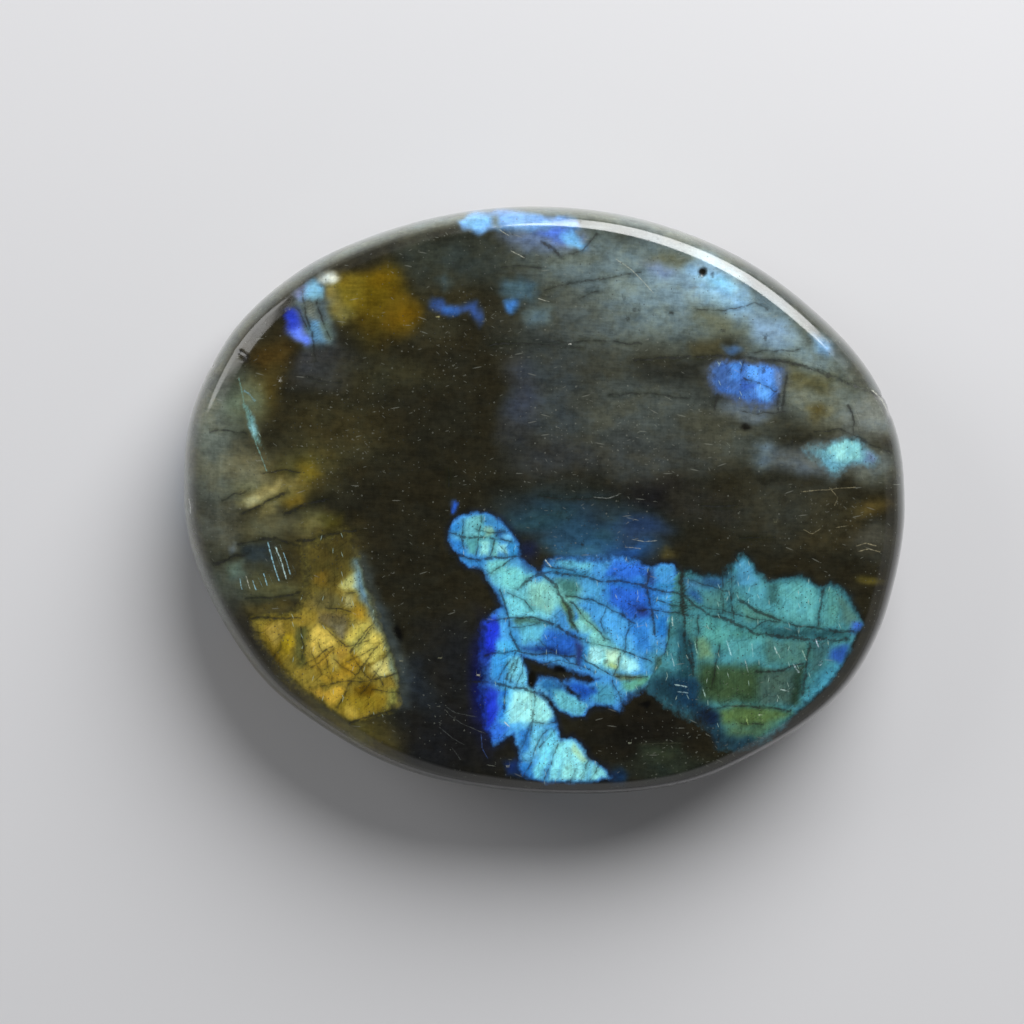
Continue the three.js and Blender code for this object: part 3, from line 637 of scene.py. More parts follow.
# Dark cracks: width, then the places that each runs through.
CRACKS = [
    # Across the blue flash.
    (1.4, [(449, 533), (470, 538), (490, 537), (513, 541)]),
    (1.8, [(450, 557), (462, 556), (480, 559), (500, 557), (518, 557)]),
    (1.2, [(487, 574), (500, 567), (508, 561), (515, 558)]),
    (2.0, [(518, 589), (527, 580), (536, 575), (556, 572), (575, 575), (596, 581), (625, 582),
           (650, 588), (690, 596)]),
    (1.0, [(541, 561), (547, 567), (565, 568), (575, 572)]),
    (1.2, [(566, 596), (592, 600), (612, 609), (625, 617), (635, 622)]),
    (1.8, [(487, 622), (508, 619), (532, 617), (545, 621), (566, 632), (584, 640)]),
    (0.8, [(512, 628), (533, 626), (540, 623)]),
    (1.5, [(486, 655), (500, 653), (516, 651), (532, 655), (548, 653), (576, 657)]),
    (1.6, [(470, 681), (487, 683), (513, 687), (535, 692)]),
    (1.2, [(585, 642), (610, 648), (640, 657), (652, 663)]),
    (1.0, [(582, 658), (592, 664), (603, 671), (618, 677), (648, 677)]),
    (1.4, [(628, 604), (640, 610), (668, 612), (694, 616)]),
    (0.9, [(655, 600), (670, 605), (685, 607)]),
    (0.8, [(545, 665), (560, 660), (578, 664), (596, 672)]),
    (0.8, [(539, 640), (548, 648), (560, 654), (572, 662)]),
    (0.7, [(476, 530), (488, 533), (504, 531)]),
    # Down the blue flash.
    (1.0, [(482, 517), (480, 530), (478, 545), (476, 556)]),
    (0.8, [(463, 520), (462, 536), (464, 548)]),
    (0.8, [(497, 534), (493, 545), (489, 557)]),
    (0.7, [(499, 545), (504, 551), (508, 556)]),
    (2.2, [(541, 574), (554, 586), (566, 604), (574, 626), (577, 632)]),
    (1.2, [(566, 598), (582, 615), (597, 631), (610, 640)]),
    (1.6, [(500, 590), (507, 612), (510, 634), (519, 650)]),
    (0.8, [(507, 592), (524, 600), (534, 611)]),
    (1.2, [(516, 651), (507, 680), (504, 710)]),
    (0.8, [(510, 660), (503, 672), (498, 680)]),
    (0.7, [(519, 655), (515, 668), (510, 682)]),
    (0.7, [(524, 662), (522, 674), (516, 686)]),
    (1.0, [(535, 691), (534, 705), (533, 722), (531, 735)]),
    (0.8, [(534, 722), (546, 724), (555, 722)]),
    (1.0, [(548, 728), (541, 738), (534, 750), (525, 777)]),
    (0.9, [(560, 742), (553, 755), (545, 779)]),
    (0.9, [(590, 759), (581, 781)]),
    (0.9, [(601, 762), (590, 781)]),
    (0.9, [(532, 723), (522, 747)]),
    (0.9, [(556, 728), (550, 736), (540, 748)]),
    (1.0, [(574, 770), (570, 781)]),
    (1.6, [(649, 570), (646, 585), (651, 610), (655, 635)]),
    (1.0, [(670, 625), (664, 655)]),
    (0.8, [(625, 648), (617, 664), (612, 680), (625, 708)]),
    (0.8, [(606, 606), (600, 622), (606, 640)]),
    (0.8, [(630, 620), (627, 640), (624, 655)]),
    (2.5, [(681, 565), (681, 585), (684, 625), (686, 650), (694, 675)]),
    # Across the teal flash.
    (2.6, [(681, 592), (688, 600), (706, 613), (730, 621), (750, 631), (760, 635), (790, 637),
           (820, 640), (848, 640)]),
    (2.2, [(738, 599), (755, 610), (778, 620), (800, 627), (830, 630), (855, 632)]),
    (0.8, [(670, 606), (705, 606), (725, 610), (745, 617), (765, 621)]),
    (1.0, [(752, 632), (756, 626), (768, 621), (780, 622)]),
    (0.8, [(684, 580), (700, 583), (722, 590), (731, 592)]),
    (1.8, [(706, 712), (728, 706), (752, 707), (776, 708), (792, 711)]),
    (0.8, [(740, 724), (762, 724)]),
    (1.5, [(805, 664), (775, 672), (755, 672)]),
    # Down the teal flash.
    (1.4, [(698, 616), (698, 640), (697, 655)]),
    (1.0, [(731, 566), (731, 585), (734, 618)]),
    (0.7, [(722, 577), (723, 595), (724, 612)]),
    (1.3, [(824, 590), (821, 602), (817, 630)]),
    (1.8, [(811, 640), (809, 655), (803, 695)]),
    (1.2, [(720, 645), (716, 660), (711, 690)]),
    (1.2, [(690, 640), (692, 655), (693, 670)]),
    (0.7, [(796, 628), (798, 640)]),
    # In the grey upper right.
    (2.2, [(634, 361), (658, 359), (690, 357), (735, 356), (756, 359), (793, 363), (818, 372),
           (841, 380), (868, 390), (880, 396)]),
    (0.8, [(752, 352), (770, 350), (800, 350)]),
    (0.8, [(697, 308), (725, 312), (740, 306), (755, 303), (768, 309)]),
    (0.8, [(600, 280), (625, 275), (640, 272)]),
    (2.0, [(540, 242), (552, 248), (560, 255)]),
    (0.8, [(560, 258), (572, 254), (582, 250)]),
    (0.8, [(580, 300), (590, 294), (598, 291)]),
    (1.2, [(503, 268), (520, 266), (540, 268)]),
    (1.4, [(582, 250), (592, 240), (598, 234)]),
    (1.2, [(544, 290), (570, 284), (600, 278)]),
    (1.5, [(700, 506), (718, 507), (736, 505)]),
    (0.8, [(740, 538), (775, 538)]),
    (1.0, [(740, 412), (760, 414), (786, 412)]),
    (1.5, [(787, 375), (784, 390), (782, 410)]),
    (1.6, [(717, 395), (715, 408)]),
    (1.0, [(744, 360), (741, 372)]),
    (1.0, [(745, 378), (760, 384), (775, 392)]),
    (1.0, [(778, 395), (778, 410)]),
    (1.2, [(849, 405), (853, 420), (852, 440)]),
    (1.4, [(862, 440), (880, 448), (892, 452)]),
    (1.2, [(815, 432), (840, 430), (866, 440)]),
    # At the left end.
    (1.6, [(240, 513), (255, 508), (270, 500), (288, 490)]),
    (2.0, [(285, 514), (300, 507), (328, 499)]),
    (2.0, [(297, 541), (310, 540), (325, 535), (355, 530)]),
    (1.4, [(238, 544), (252, 541), (275, 538), (300, 547)]),
    (2.0, [(215, 565), (235, 556), (250, 552)]),
    (1.5, [(246, 599), (275, 598), (300, 592)]),
    (1.4, [(250, 620), (262, 616), (275, 618), (300, 619)]),
    (1.2, [(210, 432), (228, 430), (246, 434)]),
    (1.0, [(262, 474), (282, 470), (300, 472)]),
    (1.0, [(222, 500), (238, 494), (250, 490)]),
    # Through the gold flash.
    (0.9, [(325, 607), (338, 609), (350, 612)]),
    (0.8, [(345, 593), (356, 592)]),
    (1.3, [(322, 686), (338, 683), (365, 681), (397, 674)]),
    (0.9, [(372, 690), (385, 692), (398, 693)]),
    (1.4, [(350, 724), (365, 718), (396, 709)]),
    (1.1, [(375, 622), (355, 644), (350, 652)]),
    (0.7, [(372, 628), (362, 640), (352, 650)]),
    (1.1, [(380, 642), (364, 664), (350, 684), (336, 708)]),
    (0.9, [(305, 665), (315, 658), (332, 647)]),
    (0.7, [(312, 668), (322, 660), (333, 650)]),
    (1.2, [(300, 628), (303, 645), (302, 660)]),
    (0.9, [(322, 624), (334, 636), (346, 646)]),
    (0.8, [(346, 646), (356, 644), (368, 640)]),
    (0.7, [(366, 664), (376, 672), (384, 684)]),
    (0.6, [(390, 650), (376, 674), (362, 694)]),
    (0.6, [(330, 655), (345, 668), (362, 680)]),
    (0.6, [(318, 640), (326, 660), (332, 682)]),
    (0.6, [(352, 656), (360, 668), (372, 680)]),
    (0.6, [(284, 632), (280, 648), (272, 660)]),
    (0.6, [(308, 632), (312, 652), (322, 674)]),
    (0.6, [(386, 640), (368, 652), (346, 662)]),
    # By the blue at the upper left.
    (1.6, [(303, 292), (305, 310), (311, 335), (316, 360)]),
    (1.2, [(317, 300), (324, 328), (330, 338)]),
    (0.9, [(296, 305), (308, 330)]),
    (1.2, [(305, 377), (320, 381), (340, 383)]),
    # Long faint ones through the dark middle.
    (1.0, [(556, 342), (600, 341), (640, 344)]),
    (0.9, [(448, 468), (448, 486)]),
    (1.0, [(490, 345), (540, 344), (585, 348)]),
    (0.9, [(610, 395), (650, 393), (690, 398)]),
    (0.9, [(540, 497), (580, 500), (620, 498)]),
]

# Pale lines: tone, width, and the places that each runs through.
PALE_GREY = (190, 192, 176)
ICE = (170, 225, 242)
LIGHT_LINES = [
    (PALE_GREY, 1.3, [(617, 260), (632, 270), (640, 278), (653, 292)]),
    (PALE_GREY, 1.2, [(512, 251), (518, 254), (523, 257)]),
    (PALE_GREY, 1.0, [(500, 230), (508, 235)]),
    (PALE_GREY, 1.0, [(540, 299), (548, 301)]),
    (ICE, 2.2, [(268, 544), (271, 555), (275, 568), (279, 580)]),
    ((205, 238, 236), 2.6, [(276, 548), (281, 560), (286, 577)]),
    (ICE, 1.6, [(284, 554), (287, 562), (290, 573)]),
    (ICE, 1.6, [(264, 575), (267, 584)]),
    (PALE_GREY, 1.4, [(246, 577), (250, 588)]),
    (ICE, 1.2, [(253, 582), (256, 589)]),
    (ICE, 1.0, [(240, 580), (242, 588)]),
    ((112, 150, 138), 2.2, [(239, 379), (244, 404), (252, 432)]),
    ((120, 160, 150), 2.0, [(252, 432), (257, 446), (266, 470)]),
    ((110, 150, 158), 3.0, [(244, 391), (250, 394), (255, 400)]),
    (PALE_GREY, 1.6, [(873, 391), (880, 396), (890, 414)]),
    ((215, 218, 214), 1.8, [(189, 500), (190, 512)]),
    ((70, 74, 58), 1.0, [(641, 744), (682, 743)]),
    ((88, 92, 90), 1.2, [(447, 708), (455, 713), (475, 717)]),
    ((88, 92, 90), 1.0, [(450, 716), (462, 724), (484, 733)]),
    ((80, 84, 82), 1.0, [(440, 728), (452, 738), (463, 744)]),
    ((80, 84, 82), 0.9, [(452, 748), (460, 759)]),
    ((66, 92, 150), 1.2, [(481, 735), (482, 748), (487, 757)]),
    ((225, 240, 235), 1.6, [(546, 561), (550, 566)]),
    ((150, 142, 112), 1.0, [(803, 492), (820, 490), (845, 488), (855, 487)]),
    ((150, 142, 112), 1.0, [(830, 488), (838, 498), (835, 505)]),
    ((150, 142, 112), 1.0, [(805, 530), (812, 534), (820, 529)]),
    ((150, 142, 112), 1.0, [(836, 528), (847, 526)]),
    ((168, 160, 128), 1.1, [(857, 546), (866, 543), (876, 546)]),
    ((168, 160, 128), 1.1, [(860, 551), (868, 549), (879, 552)]),
    ((150, 156, 150), 1.0, [(595, 497), (608, 498), (617, 495)]),
    ((150, 156, 150), 1.0, [(634, 540), (645, 542), (656, 541)]),
    ((150, 156, 150), 1.0, [(625, 547), (640, 549)]),
    ((150, 156, 150), 1.0, [(628, 518), (637, 520)]),
    # Bright scratches in the teal flash.
    ((150, 205, 190), 2.0, [(695, 642), (697, 654)]),
    ((176, 232, 236), 2.4, [(727, 642), (731, 654)]),
    ((160, 215, 215), 2.0, [(752, 645), (753, 655)]),
    ((200, 232, 228), 2.0, [(775, 648), (777, 653)]),
    ((170, 205, 190), 1.8, [(803, 652), (806, 659)]),
    ((215, 225, 240), 2.2, [(816, 641), (818, 646)]),
    ((170, 195, 190), 1.8, [(745, 661), (748, 671)]),
    ((190, 215, 220), 2.0, [(794, 665), (799, 672)]),
    ((175, 205, 205), 1.8, [(676, 685), (686, 687)]),
    ((150, 185, 195), 1.6, [(679, 692), (687, 693)]),
    ((168, 200, 190), 2.4, [(703, 690), (705, 696)]),
    ((176, 214, 220), 1.8, [(671, 655), (674, 666)]),
    ((200, 224, 214), 1.6, [(672, 618), (673, 626)]),
    ((172, 196, 190), 3.0, [(780, 689), (788, 691)]),
    ((160, 190, 120), 2.0, [(746, 717), (748, 724)]),
    ((230, 236, 230), 1.8, [(505, 722), (509, 726)]),
]

# Bright and dark dots: tone and width, and for the dark ones width alone, then the middle.
BRIGHT_DOTS = [
    ((215, 215, 205), 3.6, (280, 381)),
    ((214, 214, 206), 3.0, (570, 344)),
    ((180, 180, 160), 2.4, (478, 675)),
    ((150, 150, 120), 2.6, (440, 658)),
    ((170, 165, 120), 3.0, (438, 317)),
    ((176, 182, 160), 2.6, (630, 743)),
    ((190, 210, 170), 2.8, (760, 715)),
    ((180, 205, 215), 2.4, (820, 665)),
    ((150, 150, 120), 2.2, (775, 522)),
    ((170, 168, 140), 2.2, (401, 661)),
    ((200, 205, 190), 2.0, (508, 766)),
]
DARK_DOTS = [
    (2.6, (211, 365)), (3.2, (712, 275)), (3.4, (791, 444)), (3.6, (763, 370)), (2.6, (624, 298)),
    (3.0, (634, 309)), (2.8, (638, 310)), (2.8, (671, 313)), (2.4, (723, 331)), (2.6, (765, 338)),
    (2.4, (628, 318)), (3.0, (614, 574)), (2.6, (621, 614)), (3.4, (776, 593)), (2.4, (592, 689)),
    (2.6, (566, 768)), (2.4, (523, 257)), (2.2, (560, 515)), (2.2, (583, 544)), (2.4, (636, 616)),
    (2.2, (604, 590)), (2.4, (568, 522)), (2.6, (777, 604)), (2.2, (722, 600)), (2.4, (606, 662)),
]

# Dark spots, over body and flashes alike: tone, middle, half sizes, turn.
DARK = (10, 10, 9)
DARK_SPOTS = [
    (DARK, (560, 669), (8, 6), 0),
    (DARK, (645, 705), (7, 6), 0),
    ((16, 14, 8), (532, 679), (6, 12), 0),
    ((24, 22, 16), (703, 272), (5, 7), 0),
    (DARK, (240, 352), (4, 4), 30),
    ((22, 20, 16), (246, 358), (5, 7), 0),
    ((12, 12, 10), (399, 632), (5, 12), 20),
    ((22, 22, 18), (747, 427), (8, 5), 0),
]

# Open pits in the polish: middle, half sizes in pixels, and depth.
PITS = [
    ((703, 272), (5, 7), 0.12 * MM),
    ((712, 275), (4, 3), 0.05 * MM),
    ((240, 352), (5, 4), 0.10 * MM),
    ((246, 358), (4, 6), 0.08 * MM),
    ((211, 365), (4, 4), 0.08 * MM),
    ((645, 705), (6, 5), 0.05 * MM),
    ((399, 634), (4, 10), 0.06 * MM),
    ((880, 396), (8, 5), 0.10 * MM),
    ((890, 412), (5, 9), 0.08 * MM),
    ((189, 506), (4, 8), 0.08 * MM),
    ((495, 219), (4, 7), 0.04 * MM),
]

# Where the pale dust and small scratches lie thickest: strength, middle, half sizes, turn.
DUST = [
    (0.9, (620, 515), (70, 40), 0),
    (1.0, (830, 515), (70, 45), 0),
    (0.8, (440, 340), (110, 60), 0),
    (0.6, (640, 430), (140, 70), 0),
    (0.8, (450, 715), (45, 50), 0),
    (0.7, (350, 430), (80, 90), 0),
    (0.7, (690, 745), (90, 40), 0),
    (0.6, (740, 690), (80, 40), 0),
]

# The noise that bends the clouds and frays the edges of flashes and lines: size of its lumps,
# how far it moves a point, both in pixels, and its seed. Facets are laid a few times, with a
# seed each, and averaged.
CLOUD_DRIFT = (26, 9, 11)
EDGE_DRIFT = (7, 1.6, 21)
CRACK_DRIFT = (9, 1.4, 71)
LIGHT_DRIFT = (12, 0.5, 81)
PANE_DRIFT = (10, 3.0)
PANE_SEEDS = (31, 41, 51)

# How many values that noise draws, and the primes by which a place picks one of them.
NOISE_VALUES = 4096
NOISE_PRIMES = (73856093, 19349663, 83492791)

# The share of an oval's reach out to which it is whole, before it fades towards its edge.
CLOUD_FULL = 0.1
TONE_FULL = 0.25
SOFT_FULL = 0.3
SPOT_FULL = 0.35
DUST_FULL = 0.2
PIT_FULL = 0.2

# How far a facet's edge is feathered, as a share of its softness, and how much it hides.
PANE_BLUR = 1.5
PANE_SHARE = 0.95

# How far from an outline its distance is worked out, in pixels, the cover of a place that no
# flash is near, and the most that cover is stored as, on both sides of nought.
EDGE_MARGIN = 14.0
NO_COVER = -9.0
MOST_COVER = 3.0

# The least dust, and the noise that makes it uneven: size in pixels, strength and seed.
DUST_LEAST = 0.3
DUST_DRIFT = (40, 0.3, 51)

# How many layers the lines are spread over, so that close ones don't share one.
CRACK_LAYERS = 4
LIGHT_LAYERS = 2

# In pixels: the distances at which a line's share of its layer starts to fade and ends, how
# far past its ends it fades, the blur of its edges, how far the shade beside a crack reaches,
# and half the length of a dot.
LINE_FULL = 3.8
LINE_END = 6.5
LINE_PAST = 2.6
LINE_BLUR = 0.55
SHADE_REACH = 5.5
DOT_HALF = 0.4

# How much a line's width swells along it, the size of that noise in pixels, and the step from
# the line's own seed to its seed.
SWELL = 0.35
SWELL_SIZE = 15
SWELL_SEED_STEP = 5

# Heights between which the painted front gives way to the guessed back.
FRONT_FULL = 5.2 * MM
FRONT_ENDS = 1.5 * MM

# The parts of the square map that the front and the back are laid over.
FRONT_MAP_LOW, FRONT_MAP_HIGH = (0.01, 0.28), (0.99, 0.99)
BACK_MAP_LOW, BACK_MAP_HIGH = (0.01, 0.01), (0.99, 0.26)

# A grain of the material: noise of so many lumps to a millimetre along X, Y and Z, its detail
# and roughness, its turn in degrees, its step aside in millimetres, and its weight where
# grains are added up. Levels are the values between which a noise lets something rise from
# none to all, or from a third value to a fourth.
Grain = namedtuple(
    "Grain", "stretch detail roughness turn aside weight",
    defaults=(2.0, 0.5, 0, (0, 0, 0), 1.0),
)

# Light and dark of the body: level and upright streaks, mottling and broad patches.
LEVEL_STREAKS = Grain((0.6, 5.5, 1.0), 3.0, 0.6, turn=4, weight=0.35)
UPRIGHT_STREAKS = Grain((5.0, 0.5, 1.0), 3.0, 0.6, weight=0.2)
MOTTLE = Grain((1.3, 1.6, 1.1), 6.0, 0.66)
BROAD_PATCHES = Grain((0.35, 0.5, 0.35), 3.0, weight=0.6)
BODY_LIGHT_LEVELS = (0.7, 1.45, 0.58, 1.42)

# Light and dark of the flashes: layers on edge, slanting streaks, grain, and flat facets, one
# to each bent cell.
LAMELLAE = Grain((8.0, 0.7, 1.0), weight=0.5)
SLANTING_STREAKS = Grain((0.7, 5.0, 1.0), 3.0, 0.6, turn=-38, weight=0.5)
FLASH_GRAIN = Grain((2.4, 2.0, 2.0), 4.0, 0.6, weight=0.9)
FACET_BEND = Grain((0.8, 0.8, 0.8))
FACET_BEND_REACH = 1.6
FACET_TURN = math.radians(20)
FACET_SIZE = 1.9
FACET_WEIGHT = 0.22
FLASH_LIGHT_LEVELS = (0.6, 1.5, 0.6, 1.42)

# How far the flash grain frays the edges of the flashes, and the cover between which a flash
# rises from none to all.
FRAY_REACH = 2.2
COVER_LEVELS = (-1.1, 1.1)

# The factors by which tones are cooler in some places and warmer in others.
Lean = namedtuple("Lean", "grain cool warm")
BODY_LEAN = Lean(
    Grain((0.3, 0.4, 0.3), 4.0, 0.65, aside=(17, 5, 0)), (0.94, 1.0, 1.08), (1.06, 1.01, 0.9),
)
FLASH_LEAN = Lean(
    Grain((0.8, 0.6, 0.8), 4.0, 0.65, aside=(17, 5, 0)), (0.88, 0.98, 1.03), (1.0, 1.03, 0.97),
)
LEAN_LEVELS = (0.36, 0.64)

# Fine cracks between irregular cells: how the cells are bent, turned and stretched, how thick
# the cracks are, where they show, how much light they keep, how strongly they show in the
# flashes and on the back, and the scale of places on the back, where the cells are larger.
HAIR_BEND = Grain((0.9, 0.9, 0.9), 3.0)
HAIR_BEND_REACH = 1.8
HAIR_TURN = math.radians(12)
HAIR_STRETCH = (0.55, 0.9, 1.0)
HAIR_THICKNESS = 0.055
HAIR_PLACES = Grain((0.5, 0.5, 0.5))
HAIR_LEVELS = (0.4, 0.62)
HAIR_KEEPS = 0.3
HAIR_IN_FLASH = 0.5
HAIR_ON_BACK = 0.6
HAIR_BACK_SCALE = 0.5

# How cracks and pale lines waver, in pixels, where they are broken or dim, and how their
# width swells.
LINE_WAVER = Grain((3.0, 3.0, 3.0))
CRACK_WAVER_REACH = 2.4
LIGHT_WAVER_REACH = 0.72
LINE_WIDTH = Grain((4.0, 4.0, 4.0))
CRACK_WIDTH_LEVELS = (0.3, 0.7, 0.55, 1.8)
LIGHT_WIDTH_LEVELS = (0.3, 0.7, 0.22, 0.72)
CRACK_BREAKS = Grain((1.6, 1.6, 1.6), 3.0)
CRACK_BREAK_LEVELS = (0.32, 0.54, 0.4, 1.0)
LIGHT_BREAKS = Grain((5.0, 5.0, 5.0))
LIGHT_BREAK_LEVELS = (0.36, 0.6, 0.3, 0.85)

# How cracks, and the shade beside them, darken what is there: the light that they keep, the
# share and tone of their own, and how strongly they show.
Darkening = namedtuple("Darkening", "keeps own_share own_tone strength")
CRACK_LOOK = Darkening(0.3, 0.25, (18, 22, 18), 0.85)
SHADE_LOOK = Darkening(0.35, 0.35, (42, 48, 22), 0.5)

# Small marks, one in each chosen cell: size of the cells, the mark's length and thickness,
# its lean and how far that swings, in radians, the step aside, the share of cells that have
# one, how strongly it shows, and its tone. Lengths are millimetres.
Marks = namedtuple("Marks", "cell length thickness lean swing aside share strength tone")
DUST_TONE = (150, 153, 142)
DUST_MARKS = [
    Marks(1.2, 0.8, 0.10, 0.05, 0.9, (0, 0, 0), 0.2, 0.26, DUST_TONE),
    Marks(0.8, 0.35, 0.08, 0.2, 1.8, (7.1, 2.3, 0), 0.3, 0.2, DUST_TONE),
    Marks(0.9, 0.16, 0.16, 0, 0, (0, 0, 0), 0.26, 0.24, DUST_TONE),
    Marks(0.45, 0.10, 0.10, 0, 0, (7.1, 2.3, 0), 0.55, 0.2, DUST_TONE),
]
FLECKS = Marks(0.9, 0.5, 0.07, 1.5, 0.9, (0, 0, 0), 0.2, 0.35, (190, 222, 208))
FINE_PITS = Marks(0.4, 0.12, 0.12, 0, 0, (3.3, 1.7, 0), 0.3, 0.75, (18, 22, 18))
MARK_EDGE_LEVELS = (1.3, 0.6)

# How the broad patches thin the dust, the share of cells with a fine pit outside the flashes,
# and where the mottling lets fine pits show.
DUST_PATCH_LEVELS = (0.35, 0.65, 0.35, 1.0)
FINE_PITS_LEAST = 0.07
FINE_PIT_LEVELS = (0.4, 0.55)

# The guessed back: its ground tone, the tones laid over that where a noise lets them, and the
# mottling's light and dark.
BACK_TONE = (40, 38, 26)
BACK_BROAD = Grain((0.06, 0.08, 0.06), 3.0, 0.55)
BACK_AMBER = Grain((0.09, 0.12, 0.09), 3.0, 0.55, aside=(40, 9, 0))
BACK_FLASH = Grain((0.08, 0.1, 0.08), 5.0, 0.6, aside=(-21, 33, 0))
BACK_CLOUDS = [
    ((86, 90, 80), BACK_BROAD, (0.42, 0.62)),
    ((104, 84, 30), BACK_AMBER, (0.56, 0.7)),
    ((52, 112, 150), BACK_FLASH, (0.585, 0.63)),
    ((74, 150, 176), BACK_FLASH, (0.64, 0.7)),
]
BACK_MOTTLE = Grain((0.5, 0.9, 0.5), 5.0, 0.62)
BACK_LIGHT_LEVELS = (0.3, 0.7, 0.72, 1.3)

# The polish: roughness by the mottling, what cracks and pits add to it, the gloss, and the
# relief that is finer than the mesh.
ROUGH_LEVELS = (0.3, 0.7, 0.10, 0.2)
ROUGHER_IN_CRACKS = 0.3
STONE_IOR = 1.56
COAT_WEIGHT = 0.4
COAT_ROUGHNESS = 0.06
COAT_IOR = 1.5
POLISH = Grain((1.6, 1.6, 1.6), 3.0)
POLISH_RELIEF = 0.25
CRACK_RELIEF = 0.6
RELIEF_STRENGTH = 0.5
RELIEF_DEPTH = 0.012 * MM

# The floor, whose clouding has its lumps to a metre, and the even light: bright near the
# horizon, and dim overhead, where the face mirrors it.
FLOOR_SIZE = 4.0
FLOOR_GAP = 0.0002
FLOOR_TONE = (214, 214, 217)
FLOOR_PALER_TONE = (220, 220, 222)
FLOOR_CLOUDING = Grain((6.0, 6.0, 6.0), 3.0)
FLOOR_ROUGHNESS = 0.75
SKY_LEVELS = (0.1, 0.85, 0.55, 0.03)

# The soft boxes: name, azimuth from +X and elevation in degrees, distance, width and height,
# and brightness.
LIGHTS = [
    ("key_light", 66, 34, 0.5, (0.44, 0.40), 8.8),
    ("side_light", 150, 28, 0.6, (0.30, 0.30), 3.2),
]


def lerp(first, second, share):
    return first + (second - first) * share


def ease(value, start, end):
    """0 at start and 1 at end, with a soft turn at both."""
    share = np.clip((value - start) / (end - start), 0, 1)
    return share * share * (3 - 2 * share)


def drift(points, size, seed):
    """Smooth seeded noise from -1 to 1 in lumps of the given size, in two or three dimensions."""
    table = np.random.default_rng(seed).uniform(-1, 1, NOISE_VALUES)
    primes = np.array(NOISE_PRIMES[: points.shape[1]])
    cell = points / size
    corner = np.floor(cell).astype(np.int64)
    part = cell - corner
    part = part * part * (3 - 2 * part)
    total = np.zeros(len(points))
    for step in itertools.product((0, 1), repeat=points.shape[1]):
        weight = np.prod(np.where(step, part, 1 - part), axis=1)
        mixed = np.bitwise_xor.reduce((corner + step) * primes, axis=1)
        total += weight * table[mixed % NOISE_VALUES]
    return total


def shifted(places, size, reach, seed):
    """Places moved about by smooth noise, so that what is drawn on them looks grown."""
    move = np.stack([drift(places, size, seed), drift(places, size, seed + 1)], axis=1)
    return places + reach * move


def smooth_loop(corners, steps):
    """A closed centripetal Catmull-Rom curve through the corners."""
    parts = []
    for index in range(len(corners)):
        before, start, end, after = (corners[(index + k) % len(corners)] for k in (-1, 0, 1, 2))
        gap_a = np.linalg.norm(start - before) ** 0.5
        gap_b = np.linalg.norm(end - start) ** 0.5
        gap_c = np.linalg.norm(after - end) ** 0.5
        leave = (start - before) / gap_a - (end - before) / (gap_a + gap_b) + (end - start) / gap_b
        arrive = (end - start) / gap_b - (after - start) / (gap_b + gap_c) + (after - end) / gap_c
        t = np.linspace(0, 1, steps, endpoint=False)[:, None]
        parts.append(
            start * (2 * t**3 - 3 * t**2 + 1) + leave * gap_b * (t**3 - 2 * t**2 + t)
            + end * (3 * t**2 - 2 * t**3) + arrive * gap_b * (t**3 - t**2)
        )
    return np.concatenate(parts)


def outline_at(turns):
    """Points of the widest outline at fractions of its length, fitted to the solid's box."""
    half = np.array([LENGTH, WIDTH]) / 2
    curve = smooth_loop(np.array(OUTLINE_PIXELS) * (1, -1), OUTLINE_STEPS)
    low, high = curve.min(axis=0), curve.max(axis=0)
    curve = (curve - (low + high) / 2) * (2 * half) / (high - low)
    closed = np.concatenate([curve, curve[:1]])
    run = np.concatenate([[0], np.cumsum(np.linalg.norm(np.diff(closed, axis=0), axis=1))])
    run /= run[-1]
    return np.stack([np.interp(turns % 1, run, closed[:, axis]) for axis in (0, 1)], axis=1)


def shoulder_inset(outline):
    """How far the crease stands in from each point of the outline."""
    angle = np.arctan2(outline[:, 1], outline[:, 0])
    return SHOULDER_MEAN + SHOULDER_AT_ENDS * np.cos(2 * angle) - SHOULDER_AT_LEFT * np.cos(angle)


def moved_in(outline, inset):
    return outline * (1 - inset / np.linalg.norm(outline, axis=1))[:, None]


def face_lattice():
    """A square lattice bent to a disc: how far out and how far round each of its points is."""
    steps = np.linspace(-1, 1, FACE_CELLS + 1)
    a, b = (grid.ravel() for grid in np.meshgrid(steps, steps, indexing="ij"))
    outward = np.maximum(np.abs(a), np.abs(b))
    safe = np.maximum(outward, 1e-9)
    right = a >= np.abs(b)
    left = -a >= np.abs(b)
    top = b > np.abs(a)
    turn = np.where(
        right, b / safe / 8,
        np.where(left, 0.5 - b / safe / 8, np.where(top, 0.25 - a / safe / 8, 0.75 + a / safe / 8)),
    )
    return outward, turn


def lattice_rim():
    """The lattice's own outer points, anticlockwise from the +X tip."""
    count = FACE_CELLS
    found = []
    for k in range(POINTS_ROUND):
        side, along = divmod((k + count // 2) % POINTS_ROUND, count)
        row, column = [(count, along), (count - along, count), (0, count - along), (along, 0)][side]
        found.append(row * (count + 1) + column)
    return np.array(found)


def arc_height(inward):
    """Height of the upper shoulder, a part of an ellipse that runs on straight past its end."""
    turned = 1 - math.cos(UPPER_TURN)
    cosine = np.clip(1 - inward / BEVEL_FOOT_SHARE * turned, 0, 1)
    arc = lerp(BELT_HIGH, BEVEL_FOOT_HEIGHT, np.sqrt(1 - cosine**2) / math.sin(UPPER_TURN))
    rise = (BEVEL_FOOT_HEIGHT - BELT_HIGH) * turned / math.tan(UPPER_TURN) / math.sin(UPPER_TURN)
    past = inward / BEVEL_FOOT_SHARE - 1
    return np.where(past > 0, BEVEL_FOOT_HEIGHT + rise * past, arc)


